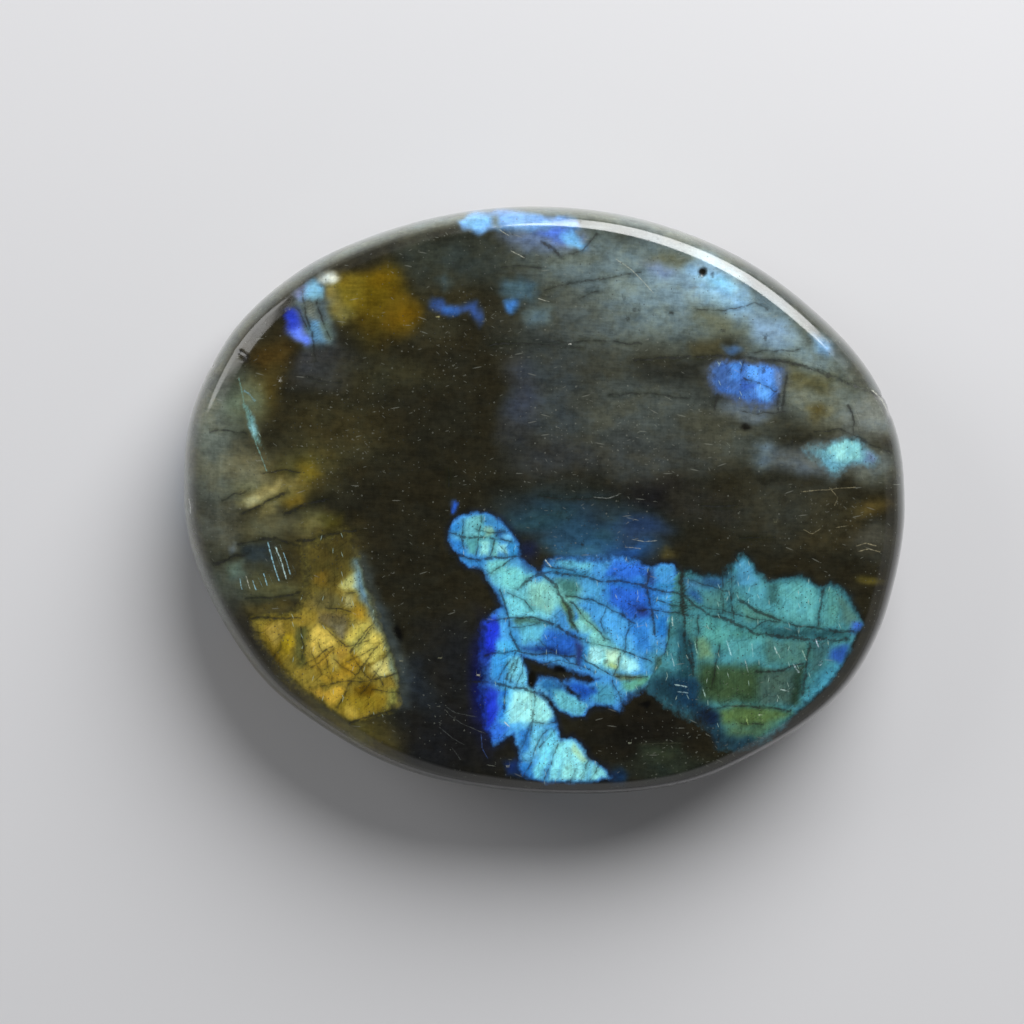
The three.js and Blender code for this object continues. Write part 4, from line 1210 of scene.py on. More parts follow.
def softened_lower(first, second):
    """The lower of two heights, with the crease where they meet softened."""
    near = np.maximum(CREASE_BLEND - np.abs(first - second), 0) / CREASE_BLEND
    return np.minimum(first, second) - near**2 * CREASE_BLEND / 4


def polished_height(inward, outward):
    """Height of the upper side, where inward is 0 at the belt and 1 at the crease."""
    along = (inward - BEVEL_FOOT_SHARE) / (1 - BEVEL_FOOT_SHARE)
    bevel = lerp(BEVEL_FOOT_HEIGHT, CREASE_HEIGHT, along)
    face = THICKNESS - (THICKNESS - CREASE_HEIGHT) * outward**2
    return softened_lower(softened_lower(arc_height(inward), bevel), face)


class Skin:
    """The points and faces of the stone, with each point's place on both halves of its map."""

    def __init__(self):
        self.points = np.zeros((0, 3))
        self.front_places = np.zeros((0, 2))
        self.back_places = np.zeros((0, 2))
        self.faces = []
        self.front_faces = 0

    def add(self, points, front_places, back_places):
        """Adds points, and returns their numbers."""
        first = len(self.points)
        self.points = np.concatenate([self.points, points])
        self.front_places = np.concatenate([self.front_places, front_places])
        self.back_places = np.concatenate([self.back_places, back_places])
        return np.arange(first, len(self.points))


def add_face(skin):
    """The crowned, polished face. It returns the face's outermost ring of points."""
    outward, turn = face_lattice()
    outline = outline_at(turn)
    inset = shoulder_inset(outline)
    crease = moved_in(outline, inset)
    inward = 1 + (1 - outward) * np.linalg.norm(crease, axis=1) / inset
    flat = crease * outward[:, None]
    height = polished_height(inward, outward)
    corner = skin.add(np.column_stack([flat, height]), flat, flat)
    corner = corner.reshape(FACE_CELLS + 1, FACE_CELLS + 1)
    quads = [corner[:-1, :-1], corner[1:, :-1], corner[1:, 1:], corner[:-1, 1:]]
    skin.faces += np.stack([quad.ravel() for quad in quads], axis=1).tolist()
    return lattice_rim()


def side_rings(outline, inset):
    """The rings of points from just past the crease to the edge of the flat back."""
    crease_reach = np.linalg.norm(moved_in(outline, inset), axis=1)
    angles = UPPER_TURN * (1 - (np.arange(1, UPPER_RINGS + 1) / UPPER_RINGS) ** SIDE_EASE)
    over_arc = BEVEL_FOOT_SHARE * (1 - np.cos(angles)) / (1 - math.cos(UPPER_TURN))
    rings = []
    for inward in [*np.linspace(1, BEVEL_FOOT_SHARE, BEVEL_RINGS + 1)[1:], *over_arc]:
        flat = moved_in(outline, inset * inward)
        height = polished_height(inward, np.linalg.norm(flat, axis=1) / crease_reach)
        rings.append(np.column_stack([flat, height]))
    for step in range(1, BELT_RINGS + 1):
        height = lerp(BELT_HIGH, BELT_LOW, step / BELT_RINGS)
        rings.append(np.column_stack([outline, np.full(POINTS_ROUND, height)]))
    for step in range(1, LOWER_RINGS + 1):
        angle = LOWER_TURN * step / LOWER_RINGS
        inward = (1 - math.cos(angle)) / (1 - math.cos(LOWER_TURN))
        height = BELT_LOW * (1 - math.sin(angle) / math.sin(LOWER_TURN))
        flat = moved_in(outline, BACK_INSET * inward)
        rings.append(np.column_stack([flat, np.full(POINTS_ROUND, height)]))
    return np.array(rings)


def add_side(skin, rim):
    """The shoulders and the belt. It returns the ring of points round the flat back."""
    outline = outline_at(np.arange(POINTS_ROUND) / POINTS_ROUND)
    away = outline / np.linalg.norm(outline, axis=1)[:, None]
    crease = skin.points[rim]
    rings = side_rings(outline, shoulder_inset(outline))
    steps = np.linalg.norm(np.diff(np.concatenate([crease[None], rings]), axis=0), axis=2)
    travel = np.cumsum(steps, axis=0)[:, :, None]
    outer = rim
    for number, ring in enumerate(rings):
        front_places = crease[:, :2] + away * travel[number]
        back_places = rings[-1, :, :2] + away * (travel[-1] - travel[number])
        inner, outer = outer, skin.add(ring, front_places, back_places)
        band = np.column_stack([inner, outer, np.roll(outer, -1), np.roll(inner, -1)])
        skin.faces += band.tolist()
        if number == BEVEL_RINGS + UPPER_RINGS - 1:
            skin.front_faces = len(skin.faces)
    return outer


def add_back(skin, rim):
    """The flat back: rings of half as many points each, down to a small fan in the middle."""
    outer = rim
    for reach in BACK_RINGS:
        points = skin.points[rim][:: 2 * POINTS_ROUND // len(outer)] * reach
        inner = skin.add(points, points[:, :2], points[:, :2])
        for k in range(len(inner)):
            near, far = inner[k], inner[(k + 1) % len(inner)]
            start, middle, end = outer[2 * k], outer[2 * k + 1], outer[(2 * k + 2) % len(outer)]
            skin.faces += [[near, middle, start], [near, far, middle], [far, end, middle]]
        outer = inner
    centre = skin.add(np.zeros((1, 3)), np.zeros((1, 2)), np.zeros((1, 2)))[0]
    for k in range(len(outer)):
        skin.faces.append([centre, outer[(k + 1) % len(outer)], outer[k]])


def photo_pixels(points):
    """The pixel of the photograph at which each point of the stone shows."""
    away = points - CAMERA_PLACE
    depth = away @ VIEW_AHEAD
    scale = VIEW_DISTANCE / depth / PIXEL
    across = away @ VIEW_RIGHT * scale
    down = away @ VIEW_UP * -scale
    return PHOTO_SIZE / 2 + np.column_stack([across, down])


def oval_reach(places, middle, half_sizes, turn):
    """0 in the middle of an oval and 1 on its edge."""
    angle = math.radians(turn)
    right, down = (places - middle).T
    along = right * math.cos(angle) - down * math.sin(angle)
    across = right * math.sin(angle) + down * math.cos(angle)
    return np.hypot(along / half_sizes[0], across / half_sizes[1])


def laid_over(values, places, ovals, full):
    """Values with each oval's own laid over them, whole out to the share full of its reach."""
    for value, middle, half_sizes, turn in ovals:
        share = ease(oval_reach(places, middle, half_sizes, turn), 1, full)
        values = lerp(values, np.array(value, float), share[:, None])
    return values


def with_rim_reflection(points, colour):
    """The painted reflection that follows the rim, pale at the top and sides and dark at the bottom,
    laid over a colour.
    """
    angle = np.degrees(np.arctan2(points[:, 1], points[:, 0]))
    outline = outline_at(outline_turn(points))
    inset = np.linalg.norm(outline, axis=1) - np.linalg.norm(points[:, :2], axis=1)
    near_rim = ease(inset, RIM_STARTS, RIM_FULL)
    for tone, middle, half in RIM_REFLECTION_TONES:
        away = np.abs((angle - middle + 180) % 360 - 180)
        share = near_rim * ease(away, half, half * RIM_TONE_FULL)
        colour = lerp(colour, np.array(tone, float), share[:, None])
    return colour


def outline_turn(points):
    """The fraction of the outline's length at which each point's direction meets it."""
    turns = np.arange(OUTLINE_TURNS) / OUTLINE_TURNS
    angles = np.unwrap(np.arctan2(*outline_at(turns).T[::-1]))
    angle = np.arctan2(points[:, 1], points[:, 0])
    start = angles[0]
    return np.interp((angle - start) % (2 * math.pi) + start, np.append(angles, start + 2 * math.pi),
                     np.append(turns, 1))


def inside_by(places, corners):
    """How far inside a closed outline each place is, negative outside it, out to a margin."""
    corners = np.array(corners, float)
    low, high = corners.min(axis=0) - EDGE_MARGIN, corners.max(axis=0) + EDGE_MARGIN
    near = np.all((places > low) & (places < high), axis=1)
    spot = places[near]
    nearest = np.full(len(spot), EDGE_MARGIN)
    inside = np.zeros(len(spot), bool)
    for start, end in zip(corners, np.roll(corners, -1, axis=0)):
        run = end - start
        share = np.clip((spot - start) @ run / (run @ run), 0, 1)
        nearest = np.minimum(nearest, np.linalg.norm(spot - start - share[:, None] * run, axis=1))
        crosses = (start[1] > spot[:, 1]) != (end[1] > spot[:, 1])
        rise = np.where(run[1] == 0, 1, run[1])
        inside ^= crosses & (spot[:, 0] < start[0] + (spot[:, 1] - start[1]) * run[0] / rise)
    result = np.full(len(places), -EDGE_MARGIN)
    result[near] = np.where(inside, nearest, -nearest)
    return result


def with_panes(colour, places, panes):
    """A colour with soft facets laid over it, feathered as a mean of a few shifted layings."""
    layers = []
    for seed in PANE_SEEDS:
        layer = colour
        bent = shifted(places, *PANE_DRIFT, seed)
        for tone, softness, corners in panes:
            share = PANE_SHARE * ease(inside_by(bent, corners) / softness, -PANE_BLUR, PANE_BLUR)
            layer = lerp(layer, np.array(tone, float), share[:, None])
        layers.append(layer)
    return np.mean(layers, axis=0)


def flat_colour(places, tone):
    return np.tile(np.array(tone, float), (len(places), 1))


def sheet_inside(places, sheet):
    """How far inside one flash each place is, negative outside it and in its gaps."""
    inside = inside_by(places, sheet.outline)
    for gap in sheet.gaps:
        inside = np.minimum(inside, -inside_by(places, gap))
    return inside


def painted(points, places):
    """The body's colour, the flashes' colour, and how far the nearest flash covers each place.

    Cover runs from below -1 outside a flash to above 1 inside it, and colours from 0 to 255.
    """
    loose = shifted(places, *CLOUD_DRIFT)
    firm = shifted(places, *EDGE_DRIFT)
    body = laid_over(flat_colour(places, BODY_TONE), loose, BODY_CLOUDS, CLOUD_FULL)
    # The body gets the painted reflection along the rim first, then its patches.
    body = with_panes(with_rim_reflection(points, body), firm, PATCHES)
    flash = flat_colour(places, BODY_TONE)
    cover = np.full(len(places), NO_COVER)
    insides = [sheet_inside(firm, sheet) for sheet in SHEETS]
    within = np.max(insides, axis=0)
    for sheet, inside in zip(SHEETS, insides):
        glow_tone, glow_reach, glow_share = sheet.glow
        near = glow_share * ease(inside, -glow_reach, 0)
        body = lerp(body, np.array(glow_tone, float), near[:, None])
        tones = laid_over(flat_colour(places, sheet.base), firm, sheet.tones, TONE_FULL)
        tones = with_panes(tones, firm, sheet.panes)
        fringe_tone, fringe_reach, fringe_share = sheet.fringe
        edge = fringe_share * ease(within, fringe_reach, 0)
        tones = lerp(tones, np.array(fringe_tone, float), edge[:, None])
        softness = flat_colour(places, [sheet.softness])
        softness = laid_over(softness, places, sheet.soft_places, SOFT_FULL)
        sheet_cover = inside / softness[:, 0]
        ahead = sheet_cover > cover
        cover = np.where(ahead, sheet_cover, cover)
        flash[ahead] = tones[ahead]
    body, flash = (laid_over(colour, firm, DARK_SPOTS, SPOT_FULL) for colour in (body, flash))
    return body, flash, np.clip(cover, -MOST_COVER, MOST_COVER)


def along_line(places, corners):
    """Each place's signed distance from an open line, and how far past its ends it lies."""
    corners = np.array(corners, float)
    nearest = np.full(len(places), np.inf)
    offset = np.zeros(len(places))
    past = np.zeros(len(places))
    last = len(corners) - 2
    for index, (start, end) in enumerate(zip(corners[:-1], corners[1:])):
        run = end - start
        length = np.linalg.norm(run)
        run = run / length
        travel = (places - start) @ run
        held = np.clip(travel, 0, length)
        distance = np.linalg.norm(places - start - held[:, None] * run, axis=1)
        side = (places - start) @ np.array([-run[1], run[0]])
        open_end = (travel < 0) & (index == 0) | (travel > length) & (index == last)
        closer = distance < nearest
        nearest = np.where(closer, distance, nearest)
        signed = np.where(open_end, side, np.copysign(distance, side))
        offset = np.where(closer, signed, offset)
        past = np.where(closer, np.where(open_end, np.abs(travel - held), 0), past)
    return offset, past


def dot_line(middle):
    """A line so short that it shows as a dot."""
    return [(middle[0] - DOT_HALF, middle[1]), (middle[0] + DOT_HALF, middle[1])]


def line_layers(places, lines, count, line_drift):
    """Lines spread over layers. A layer holds distance, share and width, and another its tone."""
    size, reach, seed = line_drift
    wandering = shifted(places, size, reach, seed)
    swell = 1 + SWELL * drift(places, SWELL_SIZE, seed + SWELL_SEED_STEP)
    fields = [np.tile([LINE_END * 2, 0.0, 1.0], (len(places), 1)) for _ in range(count)]
    tones = [np.zeros((len(places), 3)) for _ in range(count)]
    for tone, width, corners in lines:
        low, high = np.min(corners, axis=0) - LINE_END, np.max(corners, axis=0) + LINE_END
        near = np.flatnonzero(np.all((places > low) & (places < high), axis=1))
        offset, past = along_line(wandering[near], corners)
        share = ease(np.abs(offset), LINE_END, LINE_FULL) * ease(past, LINE_PAST, 0.0)
        crowded = [np.sum((field[near, 1] > 0) & (share > 0)) for field in fields]
        layer = int(np.argmin(crowded))
        field = fields[layer]
        closer = (share > 0) & (np.abs(offset) < np.abs(field[near, 0]))
        chosen = near[closer]
        field[chosen, 0] = offset[closer]
        field[chosen, 1] = share[closer]
        field[chosen, 2] = width * swell[chosen]
        tones[layer][chosen] = tone
    return fields, tones


def dust_amount(places):
    """How thick pale dust and small scratches lie, from 0 to 1."""
    size, strength, seed = DUST_DRIFT
    amount = laid_over(flat_colour(places, [DUST_LEAST]), places, DUST, DUST_FULL)
    return np.clip(amount[:, 0] + strength * drift(places, size, seed), 0, 1)


def uneven_depth(points, places):
    """How far below the true surface each point lies: a soft unevenness, and open pits."""
    depth = UNEVEN_DEPTH * (0.5 + 0.5 * drift(points, UNEVEN_SIZE, UNEVEN_SEED))
    for middle, half_sizes, pit_depth in PITS:
        depth += pit_depth * ease(oval_reach(places, middle, half_sizes, 0), 1, PIT_FULL)
    return np.where(points[:, 2] > BELT_LOW, depth, 0)


def to_linear(colour):
    """Numbers from 0 to 255, as a screen shows them, to the light that they stand for."""
    share = np.clip(colour / 255, 0, 1)
    return np.where(share <= 0.04045, share / 12.92, ((share + 0.055) / 1.055) ** 2.4)


def to_rgba(colour):
    return (*to_linear(np.array(colour, float)).tolist(), 1.0)


def add_attribute(mesh, name, values):
    """Stores one number, three numbers or a colour for each point of a mesh."""
    width = 1 if values.ndim == 1 else values.shape[1]
    kind, field = {1: ("FLOAT", "value"), 3: ("FLOAT_VECTOR", "vector")}[width]
    layer = mesh.attributes.new(name, kind, "POINT")
    layer.data.foreach_set(field, np.ascontiguousarray(values, np.float32).ravel())


def map_stone(mesh, skin):
    """Lays the front over most of the map and the back, from the belt down, over a strip of it."""
    corner_point = np.zeros(len(mesh.loops), np.int32)
    mesh.loops.foreach_get("vertex_index", corner_point)
    in_front = np.arange(len(mesh.loops)) < mesh.polygons[skin.front_faces].loop_start
    uv = np.zeros((len(mesh.loops), 2))
    for chosen, places, box_low, box_high in (
        (in_front, skin.front_places, FRONT_MAP_LOW, FRONT_MAP_HIGH),
        (~in_front, skin.back_places, BACK_MAP_LOW, BACK_MAP_HIGH),
    ):
        flat = places[corner_point[chosen]]
        low, high = flat.min(axis=0), flat.max(axis=0)
        uv[chosen] = lerp(np.array(box_low), np.array(box_high), (flat - low) / (high - low))
    layer = mesh.uv_layers.new(name="OFBake")
    layer.uv.foreach_set("vector", uv.astype(np.float32).ravel())


def stone_mesh():
    """The whole stone's skin, painted and slightly uneven, as one closed mesh."""
    skin = Skin()
    rim = add_side(skin, add_face(skin))
    add_back(skin, rim)
    mesh = bpy.data.meshes.new("labradorite_skin")
    mesh.from_pydata(skin.points, [], skin.faces)
    mesh.update()
    map_stone(mesh, skin)
    paint_stone(mesh, skin.points)
    carve_stone(mesh, skin.points)
    mesh.shade_smooth()
    return mesh


def paint_stone(mesh, points):
    """Stores on each point what the material draws the markings from."""
    places = photo_pixels(points)
    body, flash, cover = painted(points, places)
    add_attribute(mesh, "body_tone", to_linear(body))
    add_attribute(mesh, "flash_tone", to_linear(flash))
    add_attribute(mesh, "flash_cover", cover)
    level = ease(points[:, 2], BELT_HIGH, BEVEL_FOOT_HEIGHT)
    add_attribute(mesh, "level_share", level)
    add_attribute(mesh, "dust_amount", dust_amount(places) * level)
    add_attribute(mesh, "front_share", ease(points[:, 2], FRONT_ENDS, FRONT_FULL))
    dark = [*CRACKS, *((width, dot_line(middle)) for width, middle in DARK_DOTS)]
    fields, _ = line_layers(places, [(0, *line) for line in dark], CRACK_LAYERS, CRACK_DRIFT)
    for number, field in enumerate(fields):
        add_attribute(mesh, f"crack_{number}", field)
    light = [*LIGHT_LINES, *((*look, dot_line(middle)) for *look, middle in BRIGHT_DOTS)]
    fields, tones = line_layers(places, light, LIGHT_LAYERS, LIGHT_DRIFT)
    for number, (field, tone) in enumerate(zip(fields, tones)):
        add_attribute(mesh, f"light_{number}", field)
        add_attribute(mesh, f"light_tone_{number}", to_linear(tone))


def carve_stone(mesh, points):
    """Lowers the points by the unevenness and the pits, along the surface's own direction."""
    normals = np.zeros(len(points) * 3, np.float32)
    mesh.vertex_normals.foreach_get("vector", normals)
    depth = uneven_depth(points, photo_pixels(points))
    lowered = points - normals.reshape(-1, 3) * depth[:, None]
    mesh.vertices.foreach_set("co", lowered.astype(np.float32).ravel())
    mesh.update()


class Graph:
    """Short calls that add nodes to one material or world and link them."""

    def __init__(self, owner):
        owner.use_nodes = True
        self.tree = owner.node_tree
        self.tree.nodes.clear()

    def feed(self, socket, value):
        if isinstance(value, bpy.types.NodeSocket):
            self.tree.links.new(value, socket)
        else:
            socket.default_value = value

    def node(self, kind, *values, **settings):
        """A node with these settings, whose first inputs take the values in order."""
        made = self.tree.nodes.new("ShaderNode" + kind)
        for name, setting in settings.items():
            setattr(made, name, setting)
        for socket, value in zip(made.inputs, values):
            self.feed(socket, value)
        return made

    def math(self, operation, *values):
        return self.node("Math", *values, operation=operation).outputs[0]

    def product(self, first, *others):
        for other in others:
            first = self.math("MULTIPLY", first, other)
        return first

    def vector(self, operation, *values):
        return self.node("VectorMath", *values, operation=operation).outputs[0]

    def times(self, vector, scale):
        made = self.node("VectorMath", vector, operation="SCALE")
        self.feed(made.inputs["Scale"], scale)
        return made.outputs[0]

    def length(self, vector):
        return self.node("VectorMath", vector, operation="LENGTH").outputs["Value"]

    def turned(self, vector, angle):
        made = self.node("VectorRotate", vector, rotation_type="Z_AXIS")
        self.feed(made.inputs["Angle"], angle)
        return made.outputs[0]

    def parts(self, vector):
        return self.node("SeparateXYZ", vector).outputs

    def attribute(self, name, output="Vector"):
        return self.node("Attribute", attribute_name=name).outputs[output]

    def number(self, name):
        return self.attribute(name, "Fac")

    def ramp(self, value, start, end, low=0.0, high=1.0):
        """Low at start and high at end, with a soft turn at both."""
        made = self.node("MapRange", value, start, end, low, high, interpolation_type="SMOOTHSTEP")
        return made.outputs[0]

    def mix(self, share, first, second):
        made = self.node("Mix", share, data_type="RGBA", clamp_factor=True)
        self.feed(made.inputs[6], first)
        self.feed(made.inputs[7], second)
        return made.outputs[2]

    def grain(self, place, look):
        """Noise from 0 to 1, as one grain says."""
        if look.turn:
            place = self.turned(place, math.radians(look.turn))
        if any(look.aside):
            place = self.vector("ADD", place, look.aside)
        made = self.node("TexNoise", self.vector("MULTIPLY", place, look.stretch))
        made.inputs["Scale"].default_value = 1.0
        made.inputs["Detail"].default_value = look.detail
        made.inputs["Roughness"].default_value = look.roughness
        return made.outputs[0]

    def bent(self, place, look, reach):
        """Places pushed aside by a grain."""
        return self.vector("ADD", place, self.times(self.grain(place, look), reach))

    def cells(self, place, size, **settings):
        """A flat Voronoi pattern of cells of about that size, in millimetres."""
        made = self.node("TexVoronoi", place, voronoi_dimensions="2D", **settings)
        made.inputs["Scale"].default_value = 1 / size
        return made.outputs


def layered(g, place, grains):
    """Grains added up, each by its own weight, and the grains by themselves."""
    layers = [g.grain(place, look) for look in grains]
    total = 0.0
    for layer, look in zip(layers, grains):
        total = g.math("ADD", total, g.product(layer, look.weight))
    return total, layers


def leaning(g, place, tone, lean):
    """A tone that is cooler in some places and warmer in others."""
    share = g.ramp(g.grain(place, lean.grain), *LEAN_LEVELS)
    return g.vector("MULTIPLY", tone, g.mix(share, (*lean.cool, 1.0), (*lean.warm, 1.0)))


def marks(g, place, look, share):
    """Small marks, one in each chosen cell. Share is how many cells have one."""
    if any(look.aside):
        place = g.vector("ADD", place, look.aside)
    cells = g.cells(place, look.cell)
    offset = g.vector("MULTIPLY", g.vector("SUBTRACT", place, cells["Position"]), (1, 1, 0))
    chosen = g.parts(cells["Color"])
    angle = g.math("ADD", g.product(chosen[1], look.swing), look.lean - look.swing / 2)
    lying = g.turned(offset, angle)
    shape = g.vector("MULTIPLY", lying, (2 / look.length, 2 / look.thickness, 0))
    near = g.ramp(g.length(shape), *MARK_EDGE_LEVELS)
    return g.product(near, g.math("LESS_THAN", chosen[0], share))


def with_marks(g, tone, cover, look):
    """A tone with marks over it, where cover says how far they cover each place."""
    return g.mix(g.product(cover, look.strength), tone, to_rgba(look.tone))


def with_hairlines(g, place, tone, strength):
    """A tone with fine cracks between irregular cells, where a broad noise lets them show."""
    cells = g.turned(g.bent(place, HAIR_BEND, HAIR_BEND_REACH), HAIR_TURN)
    cells = g.vector("MULTIPLY", cells, HAIR_STRETCH)
    edge = g.cells(cells, 1.0, feature="DISTANCE_TO_EDGE")["Distance"]
    shown = g.ramp(g.grain(place, HAIR_PLACES), *HAIR_LEVELS)
    cracked = g.product(g.ramp(edge, HAIR_THICKNESS, 0.0), shown, strength)
    return g.mix(cracked, tone, g.times(tone, HAIR_KEEPS))


def darkened(g, tone, share, look):
    """A tone darkened by cracks, or by the shade beside them."""
    dark = g.mix(look.own_share, g.times(tone, look.keeps), to_rgba(look.own_tone))
    return g.mix(g.product(share, look.strength), tone, dark)


def line_share(g, name, waver, swell):
    """How far the lines of one layer cover each place, and how far their shade does."""
    distance, strength, width = g.parts(g.attribute(name))[:3]
    away = g.math("ABSOLUTE", g.math("ADD", distance, waver))
    half = g.product(width, swell, 0.5)
    line = g.ramp(g.math("SUBTRACT", away, half), LINE_BLUR, -LINE_BLUR)
    shade = g.ramp(away, SHADE_REACH, 0.0)
    return g.product(line, strength), g.product(shade, strength)


def with_lines(g, place, tone):
    """A tone with the dark cracks and the pale lines drawn over it, and how far it is cracked."""
    waver = g.math("SUBTRACT", g.grain(place, LINE_WAVER), 0.5)
    width = g.grain(place, LINE_WIDTH)
    cracked, shaded = 0.0, 0.0
    for number in range(CRACK_LAYERS):
        line, shade = line_share(
            g, f"crack_{number}", g.product(waver, CRACK_WAVER_REACH),
            g.ramp(width, *CRACK_WIDTH_LEVELS),
        )
        cracked = g.math("MAXIMUM", cracked, line)
        shaded = g.math("MAXIMUM", shaded, shade)
    whole = g.ramp(g.grain(place, CRACK_BREAKS), *CRACK_BREAK_LEVELS)
    cracked = g.product(cracked, whole)
    tone = darkened(g, tone, g.product(shaded, whole), SHADE_LOOK)
    tone = darkened(g, tone, cracked, CRACK_LOOK)
    bright = g.ramp(g.grain(place, LIGHT_BREAKS), *LIGHT_BREAK_LEVELS)
    for number in range(LIGHT_LAYERS):
        line, _ = line_share(
            g, f"light_{number}", g.product(waver, LIGHT_WAVER_REACH),
            g.ramp(width, *LIGHT_WIDTH_LEVELS),
        )
        tone = g.mix(g.product(line, bright), tone, g.attribute(f"light_tone_{number}"))
    return tone, cracked


def body_and_patches(g, place):
    """The body's own tones, the mottling in them, and the broad patches."""
    light, (_, _, mottle, patches) = layered(
        g, place, [LEVEL_STREAKS, UPRIGHT_STREAKS, MOTTLE, BROAD_PATCHES]
    )
    body = g.times(g.attribute("body_tone"), g.ramp(light, *BODY_LIGHT_LEVELS))
    return leaning(g, place, body, BODY_LEAN), mottle, patches


def flash_and_cover(g, place):
    """The flashes' own tones, and how far they cover each place."""
    light, (_, _, grain) = layered(g, place, [LAMELLAE, SLANTING_STREAKS, FLASH_GRAIN])
    facets = g.turned(g.bent(place, FACET_BEND, FACET_BEND_REACH), FACET_TURN)
    facets = g.parts(g.cells(facets, FACET_SIZE)["Color"])[0]
    light = g.math("ADD", light, g.product(facets, FACET_WEIGHT))
    flash = g.times(g.attribute("flash_tone"), g.ramp(light, *FLASH_LIGHT_LEVELS))
    flash = leaning(g, place, flash, FLASH_LEAN)
    fray = g.product(g.math("SUBTRACT", grain, 0.5), FRAY_REACH)
    cover = g.ramp(g.math("ADD", g.number("flash_cover"), fray), *COVER_LEVELS)
    return with_hairlines(g, place, flash, HAIR_IN_FLASH), cover


def front_tone(g, place):
    """The photographed side: its tone, its cracks, its fine pits and its mottling."""
    body, mottle, patches = body_and_patches(g, place)
    flash, cover = flash_and_cover(g, place)
    tone = g.mix(cover, body, flash)
    dust = g.product(g.number("dust_amount"), g.ramp(patches, *DUST_PATCH_LEVELS))
    for look in DUST_MARKS:
        tone = with_marks(g, tone, marks(g, place, look, g.product(dust, look.share)), look)
    tone, cracked = with_lines(g, place, tone)

    level = g.number("level_share")
    pitted = g.math("ADD", g.product(cover, FINE_PITS.share), FINE_PITS_LEAST)
    pits = g.product(marks(g, place, FINE_PITS, pitted), level, g.ramp(mottle, *FINE_PIT_LEVELS))
    tone = with_marks(g, tone, pits, FINE_PITS)
    flecks = g.product(marks(g, place, FLECKS, g.product(cover, FLECKS.share)), level)
    return with_marks(g, tone, flecks, FLECKS), cracked, pits, mottle


def back_tone(g, place):
    """The hidden side, guessed from the front: dark olive with clouds, a dim flash and veins."""
    tone = to_rgba(BACK_TONE)
    for cloud, look, levels in BACK_CLOUDS:
        tone = g.mix(g.ramp(g.grain(place, look), *levels), tone, to_rgba(cloud))
    tone = with_hairlines(g, g.times(place, HAIR_BACK_SCALE), tone, HAIR_ON_BACK)
    return g.times(tone, g.ramp(g.grain(place, BACK_MOTTLE), *BACK_LIGHT_LEVELS))


def stone_relief(g, place, cracked, pits):
    """The surface's direction, with the polish's unevenness and the sunk cracks and pits."""
    sunk = g.math("ADD", g.product(cracked, CRACK_RELIEF), pits)
    polish = g.product(g.grain(place, POLISH), POLISH_RELIEF)
    bump = g.node("Bump")
    bump.inputs["Strength"].default_value = RELIEF_STRENGTH
    bump.inputs["Distance"].default_value = RELIEF_DEPTH
    g.feed(bump.inputs["Height"], g.math("SUBTRACT", polish, sunk))
    return bump.outputs[0]


def labradorite_material():
    """Polished labradorite: painted markings under a clear gloss, rougher in its cracks and pits."""
    material = bpy.data.materials.new("labradorite")
    g = Graph(material)
    place = g.times(g.node("TexCoord").outputs["Object"], 1 / MM)
    front, cracked, pits, mottle = front_tone(g, place)
    dull = g.product(g.math("MAXIMUM", cracked, pits), ROUGHER_IN_CRACKS)
    shader = g.node("BsdfPrincipled")
    tone = g.mix(g.number("front_share"), back_tone(g, place), front)
    g.feed(shader.inputs["Base Color"], tone)
    g.feed(shader.inputs["Roughness"], g.math("ADD", g.ramp(mottle, *ROUGH_LEVELS), dull))
    shader.inputs["IOR"].default_value = STONE_IOR
    shader.inputs["Coat Weight"].default_value = COAT_WEIGHT
    shader.inputs["Coat Roughness"].default_value = COAT_ROUGHNESS
    shader.inputs["Coat IOR"].default_value = COAT_IOR
    g.feed(shader.inputs["Normal"], stone_relief(g, place, cracked, pits))
    g.feed(g.node("OutputMaterial").inputs["Surface"], shader.outputs[0])
    return material


def floor_material():
    """Plain pale studio floor with a faint unevenness of tone."""
    material = bpy.data.materials.new("pale_floor")
    g = Graph(material)
    clouding = g.grain(g.node("TexCoord").outputs["Object"], FLOOR_CLOUDING)
    shader = g.node("BsdfPrincipled")
    tone = g.mix(clouding, to_rgba(FLOOR_TONE), to_rgba(FLOOR_PALER_TONE))
    g.feed(shader.inputs["Base Color"], tone)
    shader.inputs["Roughness"].default_value = FLOOR_ROUGHNESS
    g.feed(g.node("OutputMaterial").inputs["Surface"], shader.outputs[0])
    return material


def add_stone():
    stone = bpy.data.objects.new("polished_labradorite", stone_mesh())
    stone.data.materials.append(labradorite_material())
    bpy.context.scene.collection.objects.link(stone)
    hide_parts(NODE)
    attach(stone, "root")


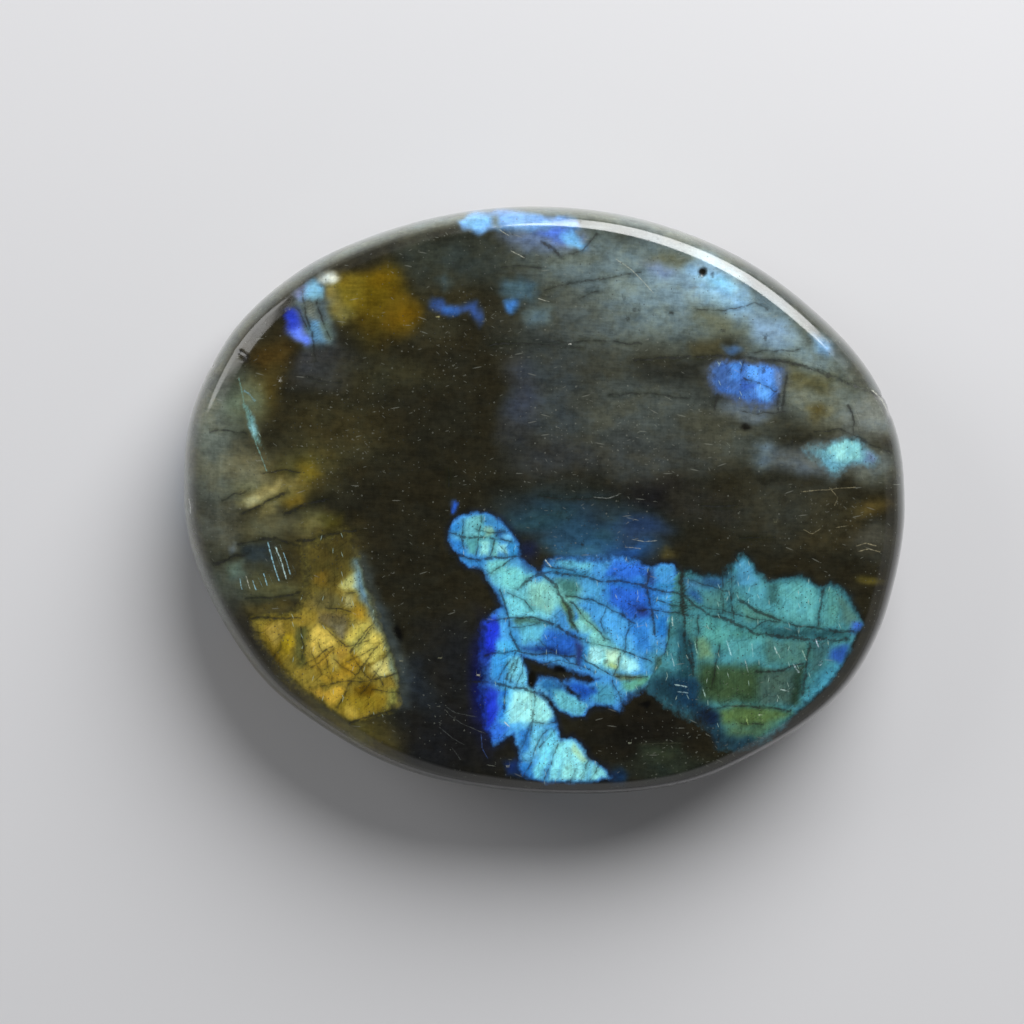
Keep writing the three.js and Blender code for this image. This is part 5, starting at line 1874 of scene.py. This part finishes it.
def add_floor():
    half = FLOOR_SIZE / 2
    corners = [(-half, -half, 0), (half, -half, 0), (half, half, 0), (-half, half, 0)]
    mesh = bpy.data.meshes.new("floor")
    mesh.from_pydata([(x, y, BOX_LOW[2] - FLOOR_GAP) for x, y, _ in corners], [], [(0, 1, 2, 3)])
    mesh.materials.append(floor_material())
    floor = bpy.data.objects.new("floor", mesh)
    bpy.context.scene.collection.objects.link(floor)


def aimed(place, target):
    """A turn that points an object's -Z from place to target."""
    return (Vector(target) - Vector(place)).to_track_quat("-Z", "Y").to_matrix().to_4x4()


def add_light(name, azimuth, elevation, distance, size, brightness):
    """A soft box that faces the stone, as bright to look at as brightness says."""
    light = bpy.data.lights.new(name, "AREA")
    light.shape = "ELLIPSE"
    light.size, light.size_y = size
    light.energy = brightness * math.pi * (math.pi / 4 * size[0] * size[1])
    flat = distance * math.cos(math.radians(elevation))
    place = Vector((
        flat * math.cos(math.radians(azimuth)),
        flat * math.sin(math.radians(azimuth)),
        distance * math.sin(math.radians(elevation)) + THICKNESS / 2,
    ))
    lamp = bpy.data.objects.new(name, light)
    lamp.matrix_world = Matrix.Translation(place) @ aimed(place, (0, 0, THICKNESS / 2))
    bpy.context.scene.collection.objects.link(lamp)


def add_sky():
    """Dim even light from all round, dim overhead too, so that the face keeps its depth."""
    world = bpy.data.worlds.new("studio")
    bpy.context.scene.world = world
    g = Graph(world)
    rise = g.parts(g.node("TexCoord").outputs["Generated"])[2]
    background = g.node("Background")
    background.inputs["Color"].default_value = (1.0, 1.0, 1.0, 1.0)
    g.feed(background.inputs["Strength"], g.ramp(rise, *SKY_LEVELS))
    g.feed(g.node("OutputWorld").inputs["Surface"], background.outputs[0])


def add_camera():
    """The photograph's own view, which looks down on the face."""
    data = bpy.data.cameras.new("camera")
    data.lens = LENS
    data.sensor_width = SENSOR
    data.clip_start = CLIP_START
    camera = bpy.data.objects.new("camera", data)
    axes = np.column_stack([VIEW_RIGHT, VIEW_UP, -VIEW_AHEAD])
    camera.matrix_world = Matrix.Translation(CAMERA_PLACE) @ Matrix(axes.tolist()).to_4x4()
    bpy.context.scene.collection.objects.link(camera)
    bpy.context.scene.camera = camera


add_camera()
add_stone()
add_floor()
add_sky()
for light in LIGHTS:
    add_light(*light)
bpy.context.scene.view_settings.view_transform = "Standard"
